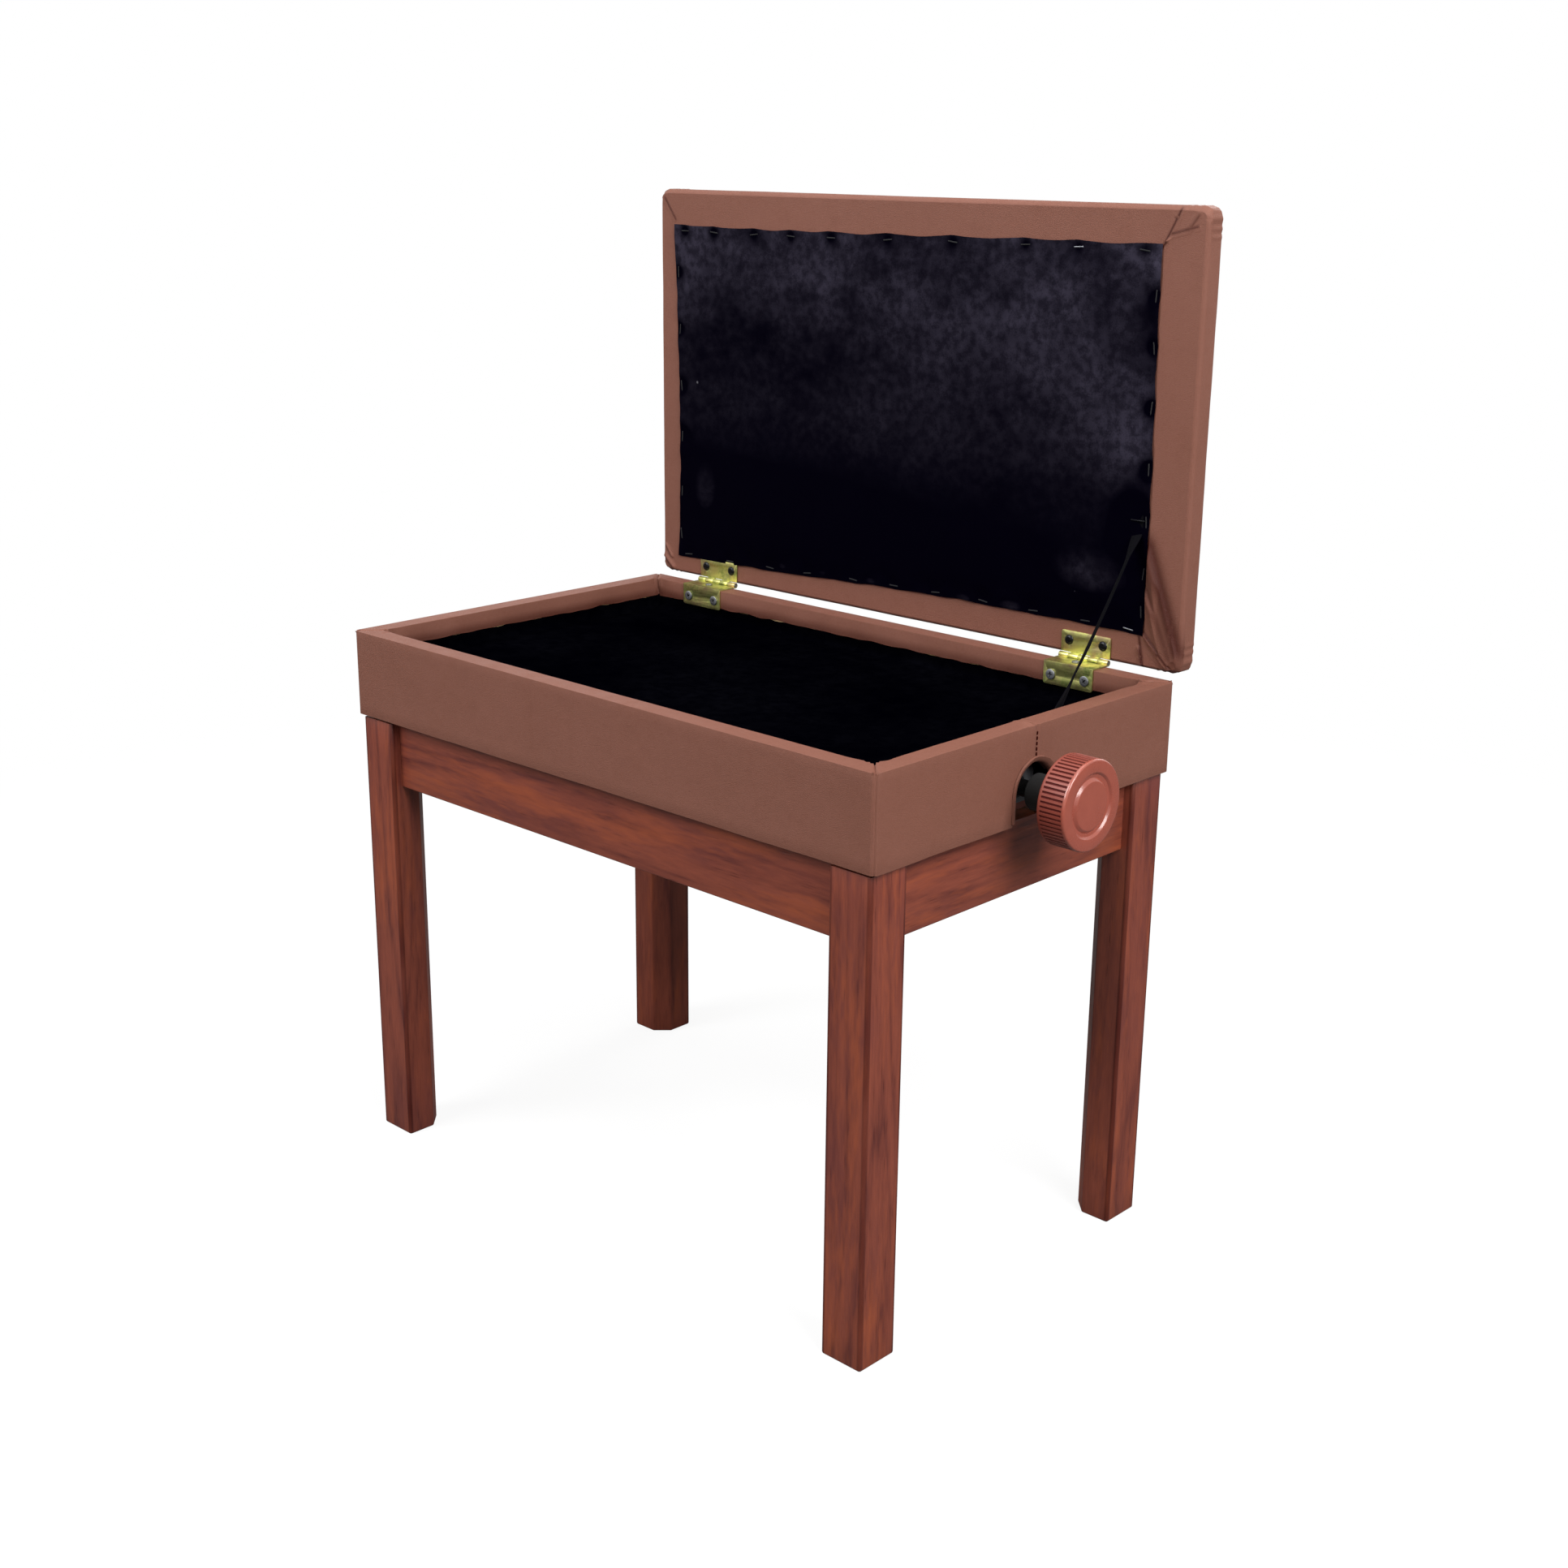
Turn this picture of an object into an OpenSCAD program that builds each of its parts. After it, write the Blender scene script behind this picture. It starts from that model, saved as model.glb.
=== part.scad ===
// Height-adjustable piano stool with a hinged, padded lid over a shallow storage tray.
// Four legs and four rails carry a crossed-arm lift. A lead screw with a side knob drives it.
// The stool is drawn as it stands: seat at its lowest height, lid open upright.

/* [Leg frame] */
// Width over the outer faces of the legs
frame_w = 541; // [500:1:545]
// Depth over the outer faces of the legs
frame_d = 325; // [300:1:328]
// Height of the legs
leg_h = 358; // [320:1:420]
// Side of the square legs
leg_side = 36; // [30:1:42]
// Flat cut along the inner corner of each leg
leg_chamfer = 12; // [8:1:15]
// Rounding of the other leg corners
leg_edge_r = 2; // [1:0.5:4]
// Height of the rails
rail_h = 53; // [45:1:70]
// Thickness of the rails
rail_t = 15; // [12:1:17]
// How far the rails stand back from the outer faces of the legs
rail_setback = 8; // [4:1:10]
// Height of the corner blocks
block_h = 40; // [30:1:44]
// Thickness of a corner block, square to the leg's chamfer
block_t = 25; // [20:1:30]
// Diameter of the leg bolts
bolt_d = 8; // [6:1:8]
// How deep a leg bolt goes into its leg
bolt_depth = 26; // [18:1:30]

/* [Seat box] */
// Width over the covered sides
box_w = 550; // [546:1:600]
// Depth over the covered sides
box_d = 330; // [328:1:360]
// Height of the covered sides
box_h = 66; // [62:1:80]
// Gap between the legs and the box at the lowest height
box_gap = 4; // [3:0.5:10]
// Thickness of the box boards
board_t = 12; // [10:0.5:14]
// Thickness of the padded cover on the boards
cover_t = 2; // [1.5:0.5:3]
// How far the cover turns down inside the box
cover_lip = 15; // [10:1:20]
// Rounding of the covered top edge
cover_r = 5; // [3:0.5:7]
// Depth of the storage tray below the rim
tray_depth = 26; // [24:1:32]
// Thickness of the tray floor
floor_t = 4; // [3:0.5:6]
// Thickness of the tray lining
lining_t = 0.8; // [0.5:0.1:1.5]
// Least thickness of the battens on the long boards
batten_least = 10; // [8:0.5:11]

/* [Lift] */
// Travel of the seat
lift = 90; // [60:1:100]
// Length of an arm from pivot to shaft
arm_l = 300; // [280:1:340]
// Width of an arm
arm_w = 16; // [14:0.5:18]
// Thickness of an arm
arm_t = 3.5; // [3:0.5:4]
// Gap between neighbouring arms and channels
arm_gap = 1; // [0.5:0.1:1]
// Diameter of the cross rods and shafts
rod_d = 10; // [8:1:10]
// Outer height of a channel
channel_h = 20; // [20:1:22]
// Outer depth of a channel
channel_depth = 14; // [12:0.5:16]
// Wall of a channel
channel_wall = 2; // [1.5:0.5:2.5]
// How far a channel runs past its pivot
channel_over = 20; // [16:1:30]
// How far a channel runs past its slide block at rest
channel_end = 6; // [3:1:10]
// First, second and third channel screw's distance from the pivot
screw_1 = 30; // [20:1:60]
screw_2 = 110; // [80:1:130]
screw_3 = 200; // [170:1:230]
// Drop of the lower channel below the top of the rails
channel_drop = 2; // [1:0.5:6]
// Drop of the upper channel below the tray floor
channel_floor_gap = 7; // [4:0.5:9]
// Length of a slide block
slide_l = 24; // [18:1:28]
// Running gap round a slide block
slide_gap = 0.2; // [0.1:0.05:0.3]
// Diameter of the centre rivets
rivet_d = 8; // [6:1:8]
// Radial play of a rod in an arm's bore
rod_play = 0.06; // [0.03:0.01:0.08]
// Play of a shaft in an arm's slot
slot_play = 0.35; // [0.25:0.05:0.5]

/* [Lead screw] */
// Outer diameter of the lead screw
screw_d = 12; // [10:1:12]
// Length of the travelling nut
nut_l = 24; // [20:1:28]
// Width of the travelling nut
nut_w = 26; // [22:1:30]
// Height of the travelling nut
nut_h = 18; // [16:1:20]
// Thickness of the screw's brackets
bracket_t = 3; // [2:0.5:4]
// Free length between the nut's last place and the collar
nut_over = 4; // [2:1:10]
// Diameter of the thrust collars
collar_d = 22; // [20:1:24]
// Length of a thrust collar
collar_l = 6; // [5:0.5:8]
// Running gap at a thrust collar
collar_gap = 0.2; // [0.1:0.05:0.3]
// Wall of the screw's bushes
bush_wall = 2.5; // [2:0.5:3]
// Flange of the screw's bushes
bush_flange = 2; // [1.5:0.5:3]
// Gap between the outer bracket and the right board
bracket_gap = 1; // [0.5:0.5:5]
// Radius of the arched notch in the right side, where the screw comes out
notch_r = 21; // [17:1:22]

/* [Knob] */
// Diameter of the knob
knob_d = 64; // [50:1:70]
// Length of the knob's grip
knob_l = 22.5; // [18:0.5:30]
// Distance from the box to the back of the grip
knob_gap = 25; // [15:1:35]
// Diameter of the knob's boss
boss_d = 26; // [22:1:30]
// Gap between the boss and the box
boss_gap = 1; // [0.5:0.1:2]
// Width of the flat ring on the knob's face
face_ring = 9; // [6:0.5:12]
// Width of the groove in the knob's face
face_groove = 6; // [4:0.5:8]
// Depth of the groove in the knob's face
groove_depth = 1.5; // [1:0.1:2.5]

/* [Lid] */
// Width of the lid
lid_w = 550; // [540:1:600]
// Depth of the lid
lid_d = 330; // [322:1:345]
// Thickness of the lid board
lid_board_t = 12; // [9:1:15]
// Height of the lid's upright side
lid_side = 14; // [12:1:18]
// Width of the rounded shoulder
shoulder_w = 13; // [10:1:18]
// Height of the rounded shoulder
shoulder_h = 15; // [12:1:20]
// Rise of the crown above the shoulder
crown_h = 6; // [3:0.5:10]
// Rounding of the lid's corners in plan
lid_corner_r = 9; // [6:1:14]
// Half width of the flat middle of the crown
crown_flat = 12; // [8:1:30]
// How far the long and short sides draw in between the corners
draw_in = 1.2; // [0.5:0.1:2.5]
// Thickness of the lid's cover
skin_t = 1.2; // [0.8:0.1:2]
// Width of the cover's border on the underside
border_w = 30; // [24:1:40]
// Distance from the lid's edge to the lining
lining_inset = 24; // [20:1:28]
// Thickness of the lid lining
lid_lining_t = 0.6; // [0.4:0.1:1]

/* [Hinges] */
// Width of a hinge leaf
leaf_w = 45; // [38:1:50]
// Thickness of a hinge leaf
leaf_t = 1.2; // [1:0.1:1.4]
// Length of the lid leaf above the hinge axis
leaf_up = 19; // [16:0.5:22]
// Length of the leaf that goes down inside the rim
leaf_down = 18; // [15:0.5:20]
// Outer diameter of the hinge barrel
barrel_d = 4.6; // [4.4:0.1:5]
// Diameter of the hinge pin
pin_d = 2.4; // [2:0.1:2.6]
// Hinge axis behind the back of the box
axis_back = 3; // [2.5:0.1:5]
// Place of the right hinge from the middle
hinge_right = 191.7; // [150:0.1:210]
// Place of the left hinge from the middle
hinge_left = -202.1; // [-210:0.1:-150]
// Distance between the two screws of a leaf
leaf_screws = 31; // [26:0.5:32]
// Diameter of the lid screws' domed heads
dome_d = 8; // [6:0.5:9]
// Height of the lid screws' domed heads
dome_h = 1.6; // [1.2:0.1:1.7]
// Diameter of the rim screws' heads
head_d = 8; // [6:0.5:9]
// Height of the rim screws' heads
head_h = 1.1; // [0.8:0.1:1.2]
// Diameter of the wood screws' shanks
shank_d = 3.2; // [2.5:0.1:4]

/* [Stay tape] */
// Width of the stay tape
tape_w = 9; // [6:0.5:14]
// Thickness of the stay tape
tape_t = 0.8; // [0.5:0.1:1.2]
// Height of the upper anchor above the hinge axis
tape_up = 110; // [80:1:140]
// Upper anchor's distance from the lid's side
tape_side = 43; // [32:1:60]
// Lower anchor's place from the middle of the box
tape_y = 33; // [0:1:60]
// Lower anchor's height above the tray floor
tape_low = 5; // [4:0.5:8]
// Wire of the staples that hold the tape
staple_t = 1; // [0.6:0.1:1.2]
// How deep the staples go in
staple_bite = 7; // [5:0.5:9]

/* [Hidden] */
$fn = 48;

wood = [0.42, 0.19, 0.13];
pale_wood = [0.72, 0.56, 0.38];
leatherette = [0.50, 0.33, 0.28];
black_cloth = [0.07, 0.07, 0.09];
zinc_yellow = [0.80, 0.74, 0.38];
steel = [0.55, 0.56, 0.58];
dark_steel = [0.16, 0.16, 0.17];
nylon = [0.85, 0.85, 0.80];
brass = [0.72, 0.58, 0.30];
knob_brown = [0.60, 0.34, 0.30];
foam_yellow = [0.86, 0.80, 0.58];

// Depth of a wood screw in its board
screw_bite = 9;
// A cut runs this far past a face
over = 1;

// Leg frame
half_w = frame_w/2;
half_d = frame_d/2;
rail_in_x = half_w - rail_setback - rail_t;
// The long rails reach in as far as the battens above them need, so that the channels line up
rail_in_y = min(half_d - rail_setback - rail_t,
    box_d/2 - cover_t - board_t - batten_least);
rail_z = leg_h - rail_h;
block_z = rail_z + (rail_h - block_h)/2;
bolt_z = block_z + block_h/2;
nut_t = 0.8*bolt_d;
washer_t = 1.5;

// Seat box
box_z = leg_h + box_gap;
rim_z = box_z + box_h;
board_out_x = box_w/2 - cover_t;
board_out_y = box_d/2 - cover_t;
board_in_x = board_out_x - board_t;
board_in_y = board_out_y - board_t;
rim_in_x = board_in_x - cover_t;
rim_in_y = board_in_y - cover_t;
rim_t = board_t + 2*cover_t;
board_h = box_h - cover_t;
board_r = cover_r - cover_t;
lip_z = rim_z - cover_lip;
floor_z = rim_z - tray_depth;
batten_h = floor_z - floor_t - box_z - 4;
batten_z = box_z + 4;

// Lift: lower and upper pivot lines and the arms' angles
low_z = leg_h - channel_drop - channel_h/2;
up_z = floor_z - floor_t - channel_floor_gap - channel_h/2;
rise = up_z - low_z;
angle_low = asin(rise/arm_l);
angle_high = asin((rise + lift)/arm_l);
swing = angle_high - angle_low;
pivot_x = -arm_l/2;
shaft_x = pivot_x + arm_l*cos(angle_low);
shaft_x_high = pivot_x + arm_l*cos(angle_high);
travel = shaft_x - shaft_x_high;
sagitta = arm_l*(1 - cos(swing/2));
rivet_play = arm_l*sin((angle_low + angle_high)/2) - rise - lift/2 + 0.25;
channel_y = rail_in_y;
channel_x0 = pivot_x - channel_over;
channel_len = shaft_x + slide_l/2 + channel_end - channel_x0;
web_y = channel_y - channel_wall;
flange_y = channel_y - channel_depth;
slide_h = channel_h - 2*channel_wall - 2*slide_gap;
slide_y1 = web_y - slide_gap;
slide_y0 = flange_y + arm_gap;
base_arm_y = flange_y - arm_gap - arm_t;
box_arm_y = base_arm_y - arm_gap - arm_t;
channel_screw_x = [pivot_x + screw_1, pivot_x + screw_2, pivot_x + screw_3];
channel_screw_d = 4;
channel_head_d = 8;
channel_head_h = 1.6;
channel_bite = 10;

// Lead screw and knob
side_x = box_w/2;
knob_back = side_x + knob_gap;
knob_front = knob_back + knob_l;
screw_r = screw_d/2;
nut_end = shaft_x_high - nut_l/2;
bracket_x = nut_end - nut_over - collar_l - collar_gap - bush_flange - bracket_t;
outer_bracket_x = board_in_x - bracket_gap - bracket_t;
screw_x0 = bracket_x - 4;
screw_x1 = knob_front - 5;
bracket_w = nut_w + 10;
bracket_foot = 22;
bracket_z0 = up_z - screw_r - 6;
bush_r = screw_r + rod_play + bush_wall;
bush_flange_r = bush_r + 3;
knob_r = knob_d/2;
knob_edge = 2;
knob_taper = 1.5;

// Lid and hinges, drawn upright about the hinge axis
hinge_y = box_d/2 + axis_back;
hinge_z = rim_z + barrel_d/2;
under_y = hinge_y + barrel_d/2;
lid_z = hinge_z + 1.2;
lid_thick = lid_side + shoulder_h + crown_h;
board_margin = skin_t + draw_in + 0.3;
border_t = 1;
foam_gap = 0.1;
knuckles = 5;
knuckle_l = leaf_w/knuckles;
knuckle_gap = 0.15;
rim_screw_z = rim_z - leaf_down/2;
lid_screw_z = hinge_z + 0.62*leaf_up;
top_screw_y = (hinge_y - barrel_d/2 + rim_in_y)/2;
hinge_places = [hinge_left, hinge_right];
leaf_front = rim_in_y - leaf_t;

// Stay tape ends
tape_top = [lid_w/2 - tape_side, under_y - lid_lining_t, hinge_z + tape_up];
tape_low_x = board_in_x - lining_t;
tape_bottom = [tape_low_x, tape_y, floor_z + tape_low];
// Knee of the tape under the cover's lip, low end of its tab on the lid and steps between them
tape_knee = [rim_in_x - tape_t/2 - 0.3, tape_y, lip_z - tape_t];
tape_tab = 12;
tape_tab_low = tape_top - [0, tape_t/2, tape_tab];
tape_steps = 12;
staple_w = staple_t;
staple_half = tape_w/2 + staple_w/2 + 0.3;
// Room between the tape and the crown of a staple
staple_gap = 0.1;

// The stool's middle is set off so that the origin lies under the middle of the whole outline
origin_x = (knob_front - box_w/2)/2;
origin_y = (under_y + lid_thick - box_d/2)/2;

echo(origin_x = origin_x, origin_y = origin_y, rim_z = rim_z, floor_z = floor_z);
echo(low_z = low_z, up_z = up_z, pivot_x = pivot_x, shaft_x = shaft_x);
echo(swing = swing, travel = travel, sagitta = sagitta, rivet_play = rivet_play);
echo(hinge_y = hinge_y, hinge_z = hinge_z, under_y = under_y, lid_z = lid_z);
echo(tape_top = tape_top, tape_bottom = tape_bottom);

// Moves a piece from the stool's middle to the model's origin
module place() {
    translate([-origin_x, -origin_y, 0]) children();
}

// A piece drawn at the rear left corner and turned into the corner named by its signs
module at_corner(sx, sy) {
    mirror([sx > 0 ? 1 : 0, 0, 0]) mirror([0, sy < 0 ? 1 : 0, 0]) children();
}

// A piece drawn for the rear, or mirrored to the front
module rear_or_front(front) {
    mirror([0, front ? 1 : 0, 0]) children();
}

// A rod along X, Y or Z from a start point
module rod_x(r, l) {
    rotate([0, 90, 0]) cylinder(r = r, h = l);
}

module rod_y(r, l) {
    rotate([-90, 0, 0]) cylinder(r = r, h = l);
}

// Square section with rounded corners
module rounded_square(side, r) {
    translate([r, 0]) square([side - 2*r, side]);
    translate([0, r]) square([side, side - 2*r]);
    for (x = [r, side - r], y = [r, side - r]) translate([x, y]) circle(r);
}

// Leg at the rear left corner, its flat cut facing the middle of the stool
module leg_solid() {
    difference() {
        translate([-half_w, half_d - leg_side, 0])
            linear_extrude(leg_h)
                difference() {
                    rounded_square(leg_side, leg_edge_r);
                    translate([leg_side, 0]) rotate(45)
                        square(leg_chamfer*sqrt(2), center = true);
                }
        bolt_hole(bolt_d/2);
    }
}

// Middle of the leg's flat cut, and the bolt's line through it towards the leg
cut_x = -half_w + leg_side - leg_chamfer/2;
cut_y = half_d - leg_side + leg_chamfer/2;

module along_bolt() {
    translate([cut_x, cut_y, bolt_z]) rotate([0, 0, 135]) children();
}

module bolt_hole(r) {
    along_bolt() translate([-block_t - over, 0, 0]) rod_x(r, block_t + over + bolt_depth);
}

module leg_front_left() {
    place() color(wood) at_corner(-1, -1) leg_solid();
}

module leg_front_right() {
    place() color(wood) at_corner(1, -1) leg_solid();
}

module leg_rear_left() {
    place() color(wood) at_corner(-1, 1) leg_solid();
}

module leg_rear_right() {
    place() color(wood) at_corner(1, 1) leg_solid();
}

// Rail along the rear, bored for the channel's screws, and for the corner bolts if it reaches them
module long_rail() {
    inner_l = frame_w - 2*leg_side;
    difference() {
        translate([-inner_l/2, rail_in_y, rail_z])
            cube([inner_l, half_d - rail_setback - rail_in_y, rail_h]);
        channel_screws(low_z, channel_screw_d/2, rail_in_y - over);
        for (side = [0, 1]) mirror([side, 0, 0]) bolt_hole(bolt_d/2 + 0.4);
    }
}

module short_rail() {
    inner_l = frame_d - 2*leg_side;
    translate([rail_in_x, -inner_l/2, rail_z]) cube([rail_t, inner_l, rail_h]);
}

module rail_front() {
    place() color(wood) rear_or_front(true) long_rail();
}

module rail_rear() {
    place() color(wood) rear_or_front(false) long_rail();
}

module rail_left() {
    place() color(wood) mirror([1, 0, 0]) short_rail();
}

module rail_right() {
    place() color(wood) short_rail();
}

// Block that ties two rails to the rear left leg
module corner_block() {
    leg_x = -half_w + leg_side;
    leg_y = half_d - leg_side;
    back = leg_x - leg_chamfer - leg_y + block_t*sqrt(2);
    difference() {
        translate([0, 0, block_z])
            linear_extrude(block_h)
                polygon([[-rail_in_x, leg_y], [-rail_in_x, -rail_in_x - back],
                    [rail_in_y + back, rail_in_y], [leg_x, rail_in_y],
                    [leg_x, leg_y + leg_chamfer], [leg_x - leg_chamfer, leg_y]]);
        bolt_hole(bolt_d/2 + 0.4);
    }
}

module corner_block_front_left() {
    place() color(pale_wood) at_corner(-1, -1) corner_block();
}

module corner_block_front_right() {
    place() color(pale_wood) at_corner(1, -1) corner_block();
}

module corner_block_rear_left() {
    place() color(pale_wood) at_corner(-1, 1) corner_block();
}

module corner_block_rear_right() {
    place() color(pale_wood) at_corner(1, 1) corner_block();
}

module leg_bolts() {
    place() color(steel)
        for (sx = [-1, 1], sy = [-1, 1])
            at_corner(sx, sy) along_bolt() translate([-block_t - washer_t - nut_t - 3, 0, 0])
                rod_x(bolt_d/2, block_t + washer_t + nut_t + 3 + bolt_depth);
}

// Washer and hexagon nut on each leg bolt
module leg_nuts() {
    place() color(steel)
        for (sx = [-1, 1], sy = [-1, 1])
            at_corner(sx, sy) along_bolt()
                difference() {
                    union() {
                        translate([-block_t - washer_t, 0, 0]) rod_x(bolt_d, washer_t);
                        translate([-block_t - washer_t - nut_t, 0, 0]) rotate([0, 90, 0])
                            cylinder(r = 0.95*bolt_d, h = nut_t, $fn = 6);
                    }
                    translate([-block_t - washer_t - nut_t - over, 0, 0])
                        rod_x(bolt_d/2, nut_t + washer_t + 2*over);
                }
}

// Channel along the rear with its open side towards the middle, its web on the given height
module channel(z) {
    difference() {
        translate([channel_x0, flange_y, z - channel_h/2])
            cube([channel_len, channel_depth, channel_h]);
        translate([channel_x0 - over, flange_y - over, z - channel_h/2 + channel_wall])
            cube([channel_len + 2*over, channel_depth - channel_wall + over,
                channel_h - 2*channel_wall]);
        translate([pivot_x, web_y - over, z]) rod_y(rod_d/2, channel_wall + 2*over);
        channel_screws(z, channel_screw_d/2, web_y - over);
    }
}

// Shanks of the channel's screws, from a given face outwards
module channel_screws(z, r, from_y) {
    for (x = channel_screw_x)
        translate([x, from_y, z]) rod_y(r, channel_y + channel_bite - from_y);
}

// Headed screws of one channel
module channel_screw_set(z) {
    channel_screws(z, channel_screw_d/2, web_y);
    for (x = channel_screw_x)
        translate([x, web_y - channel_head_h, z]) rod_y(channel_head_d/2, channel_head_h);
}

module lower_channel_front() {
    place() color(steel) rear_or_front(true) channel(low_z);
}

module lower_channel_rear() {
    place() color(steel) rear_or_front(false) channel(low_z);
}

module lower_channel_screws() {
    place() color(steel)
        for (front = [false, true]) rear_or_front(front) channel_screw_set(low_z);
}

// Fixed rod that the base arms turn on
module base_pivot_rod() {
    place() color(steel) translate([pivot_x, -channel_y, low_z]) rod_y(rod_d/2, 2*channel_y);
}

// Side of the box along the front, mitred at both ends, outer face on y = 0
module mitred(l, t, h) {
    intersection() {
        translate([-l/2, 0, 0]) rotate([90, 0, 90]) linear_extrude(l) children();
        linear_extrude(h) polygon([[-l/2, 0], [l/2, 0], [l/2 - t, t], [-l/2 + t, t]]);
    }
}

// Upright section with a rounded top
module round_top(w, h, r) {
    square([w, h - r]);
    translate([r, 0]) square([w - 2*r, h]);
    for (x = [r, w - r]) translate([x, h - r]) circle(r);
}

module side_board(l) {
    mitred(l, board_t, board_h) round_top(board_t, board_h, board_r);
}

// Section of the cover round a board, with its lip inside the box
module cover_section() {
    difference() {
        round_top(rim_t, box_h, cover_r);
        translate([cover_t, 0]) round_top(board_t, board_h, board_r);
        translate([rim_t - cover_t - over, -over])
            square([cover_t + 2*over, box_h - cover_lip + over]);
    }
}

module cover_side(l) {
    mitred(l, rim_t, box_h) cover_section();
}

module board_front() {
    place() color(pale_wood) translate([0, -board_out_y, box_z]) side_board(2*board_out_x);
}

module board_rear() {
    place() color(pale_wood)
        difference() {
            translate([0, board_out_y, box_z]) rotate([0, 0, 180]) side_board(2*board_out_x);
            rim_screw_shanks();
        }
}

module board_left() {
    place() color(pale_wood) translate([-board_out_x, 0, box_z]) rotate([0, 0, -90])
        side_board(2*board_out_y);
}

module board_right() {
    place() color(pale_wood)
        difference() {
            translate([board_out_x, 0, box_z]) rotate([0, 0, 90]) side_board(2*board_out_y);
            notch(notch_r + cover_t, board_in_x - over, board_out_x + over);
            box_staple_legs(staple_bite);
        }
}

// Arched notch up from the bottom edge round the screw's line, between two places along X
module notch(r, from_x, to_x) {
    translate([from_x, 0, up_z]) rod_x(r, to_x - from_x);
    translate([from_x, -r, box_z - over]) cube([to_x - from_x, 2*r, up_z - box_z + over]);
}

// The cover turns into the notch and lines it
module rim_cover() {
    place() color(leatherette)
        difference() {
            union() {
                intersection() {
                    notch(notch_r + cover_t, board_in_x, side_x);
                    translate([board_in_x, -box_d/2, box_z]) cube([rim_t, box_d, box_h]);
                }
                translate([0, -box_d/2, box_z]) cover_side(box_w);
                translate([0, box_d/2, box_z]) rotate([0, 0, 180]) cover_side(box_w);
                translate([-box_w/2, 0, box_z]) rotate([0, 0, -90]) cover_side(box_d);
                translate([box_w/2, 0, box_z]) rotate([0, 0, 90]) cover_side(box_d);
            }
            notch(notch_r, board_in_x - over, side_x + over);
            rim_screw_shanks();
        }
}

module tray_floor() {
    place() color(pale_wood)
        difference() {
            translate([-board_in_x, -board_in_y, floor_z - floor_t])
                cube([2*board_in_x, 2*board_in_y, floor_t]);
            bracket_shanks();
        }
}

// Thin lining over the tray's floor and up its sides
module tray_lining() {
    place() color(black_cloth)
        difference() {
            translate([-board_in_x, -board_in_y, floor_z])
                cube([2*board_in_x, 2*board_in_y, lip_z - floor_z]);
            translate([-board_in_x + lining_t, -board_in_y + lining_t, floor_z + lining_t])
                cube([2*(board_in_x - lining_t), 2*(board_in_y - lining_t), tray_depth]);
            box_staple_legs(staple_bite);
        }
}

// Batten on the inner face of a long board: it carries the floor and the upper channel
module batten() {
    difference() {
        translate([-board_in_x, rail_in_y, batten_z])
            cube([2*board_in_x, board_in_y - rail_in_y, batten_h]);
        channel_screws(up_z, channel_screw_d/2, rail_in_y - over);
    }
}

module batten_front() {
    place() color(pale_wood) rear_or_front(true) batten();
}

module batten_rear() {
    place() color(pale_wood) rear_or_front(false) batten();
}

module upper_channel_front() {
    place() color(steel) rear_or_front(true) channel(up_z);
}

module upper_channel_rear() {
    place() color(steel) rear_or_front(false) channel(up_z);
}

module upper_channel_screws() {
    place() color(steel)
        for (front = [false, true]) rear_or_front(front) channel_screw_set(up_z);
}

// Fixed rod that the box arms hang on
module box_pivot_rod() {
    place() color(steel) translate([pivot_x, -channel_y, up_z]) rod_y(rod_d/2, 2*channel_y);
}

// Flanged bush in a bracket at x, with its flange towards the nut
module bush(x, flange_x) {
    difference() {
        union() {
            translate([x, 0, up_z]) rod_x(bush_r, bracket_t);
            translate([flange_x, 0, up_z]) rod_x(bush_flange_r, bush_flange);
        }
        translate([x - bush_flange - over, 0, up_z])
            rod_x(screw_r + rod_play, bracket_t + 2*bush_flange + 2*over);
    }
}

module screw_bushes() {
    place() color(nylon) {
        bush(bracket_x, bracket_x + bracket_t);
        bush(outer_bracket_x, outer_bracket_x - bush_flange);
    }
}

// Angle brackets under the tray floor that carry the screw near both ends
module screw_brackets() {
    top = floor_z - floor_t;
    place() color(dark_steel)
        difference() {
            for (x = [bracket_x, outer_bracket_x])
                difference() {
                    union() {
                        translate([x, -bracket_w/2, bracket_z0])
                            cube([bracket_t, bracket_w, top - bracket_z0]);
                        translate([x - bracket_foot, -bracket_w/2, top - bracket_t])
                            cube([bracket_foot + bracket_t, bracket_w, bracket_t]);
                    }
                    translate([x - over, 0, up_z]) rod_x(bush_r, bracket_t + 2*over);
                }
            bracket_shanks();
        }
}

// Places of the brackets' screws
bracket_screw_y = bracket_w/2 - 7;
bracket_screw_places = [for (x = [bracket_x, outer_bracket_x], side = [-1, 1])
    [x - bracket_foot/2, side*bracket_screw_y]];

module bracket_shanks() {
    for (p = bracket_screw_places)
        translate([p.x, p.y, floor_z - floor_t - bracket_t])
            cylinder(r = shank_d/2, h = bracket_t + floor_t - over/2);
}

module bracket_screws() {
    place() color(steel) {
        bracket_shanks();
        for (p = bracket_screw_places)
            translate([p.x, p.y, floor_z - floor_t - bracket_t - head_h])
                cylinder(r = head_d/2, h = head_h);
    }
}

// Knuckles of one leaf: the rim leaf has every second one from the first, the lid leaf the rest
module knuckle_row(first) {
    for (k = [first:2:knuckles - 1])
        translate([-leaf_w/2 + k*knuckle_l + knuckle_gap, hinge_y, hinge_z])
            rod_x(barrel_d/2, knuckle_l - 2*knuckle_gap);
}

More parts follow.
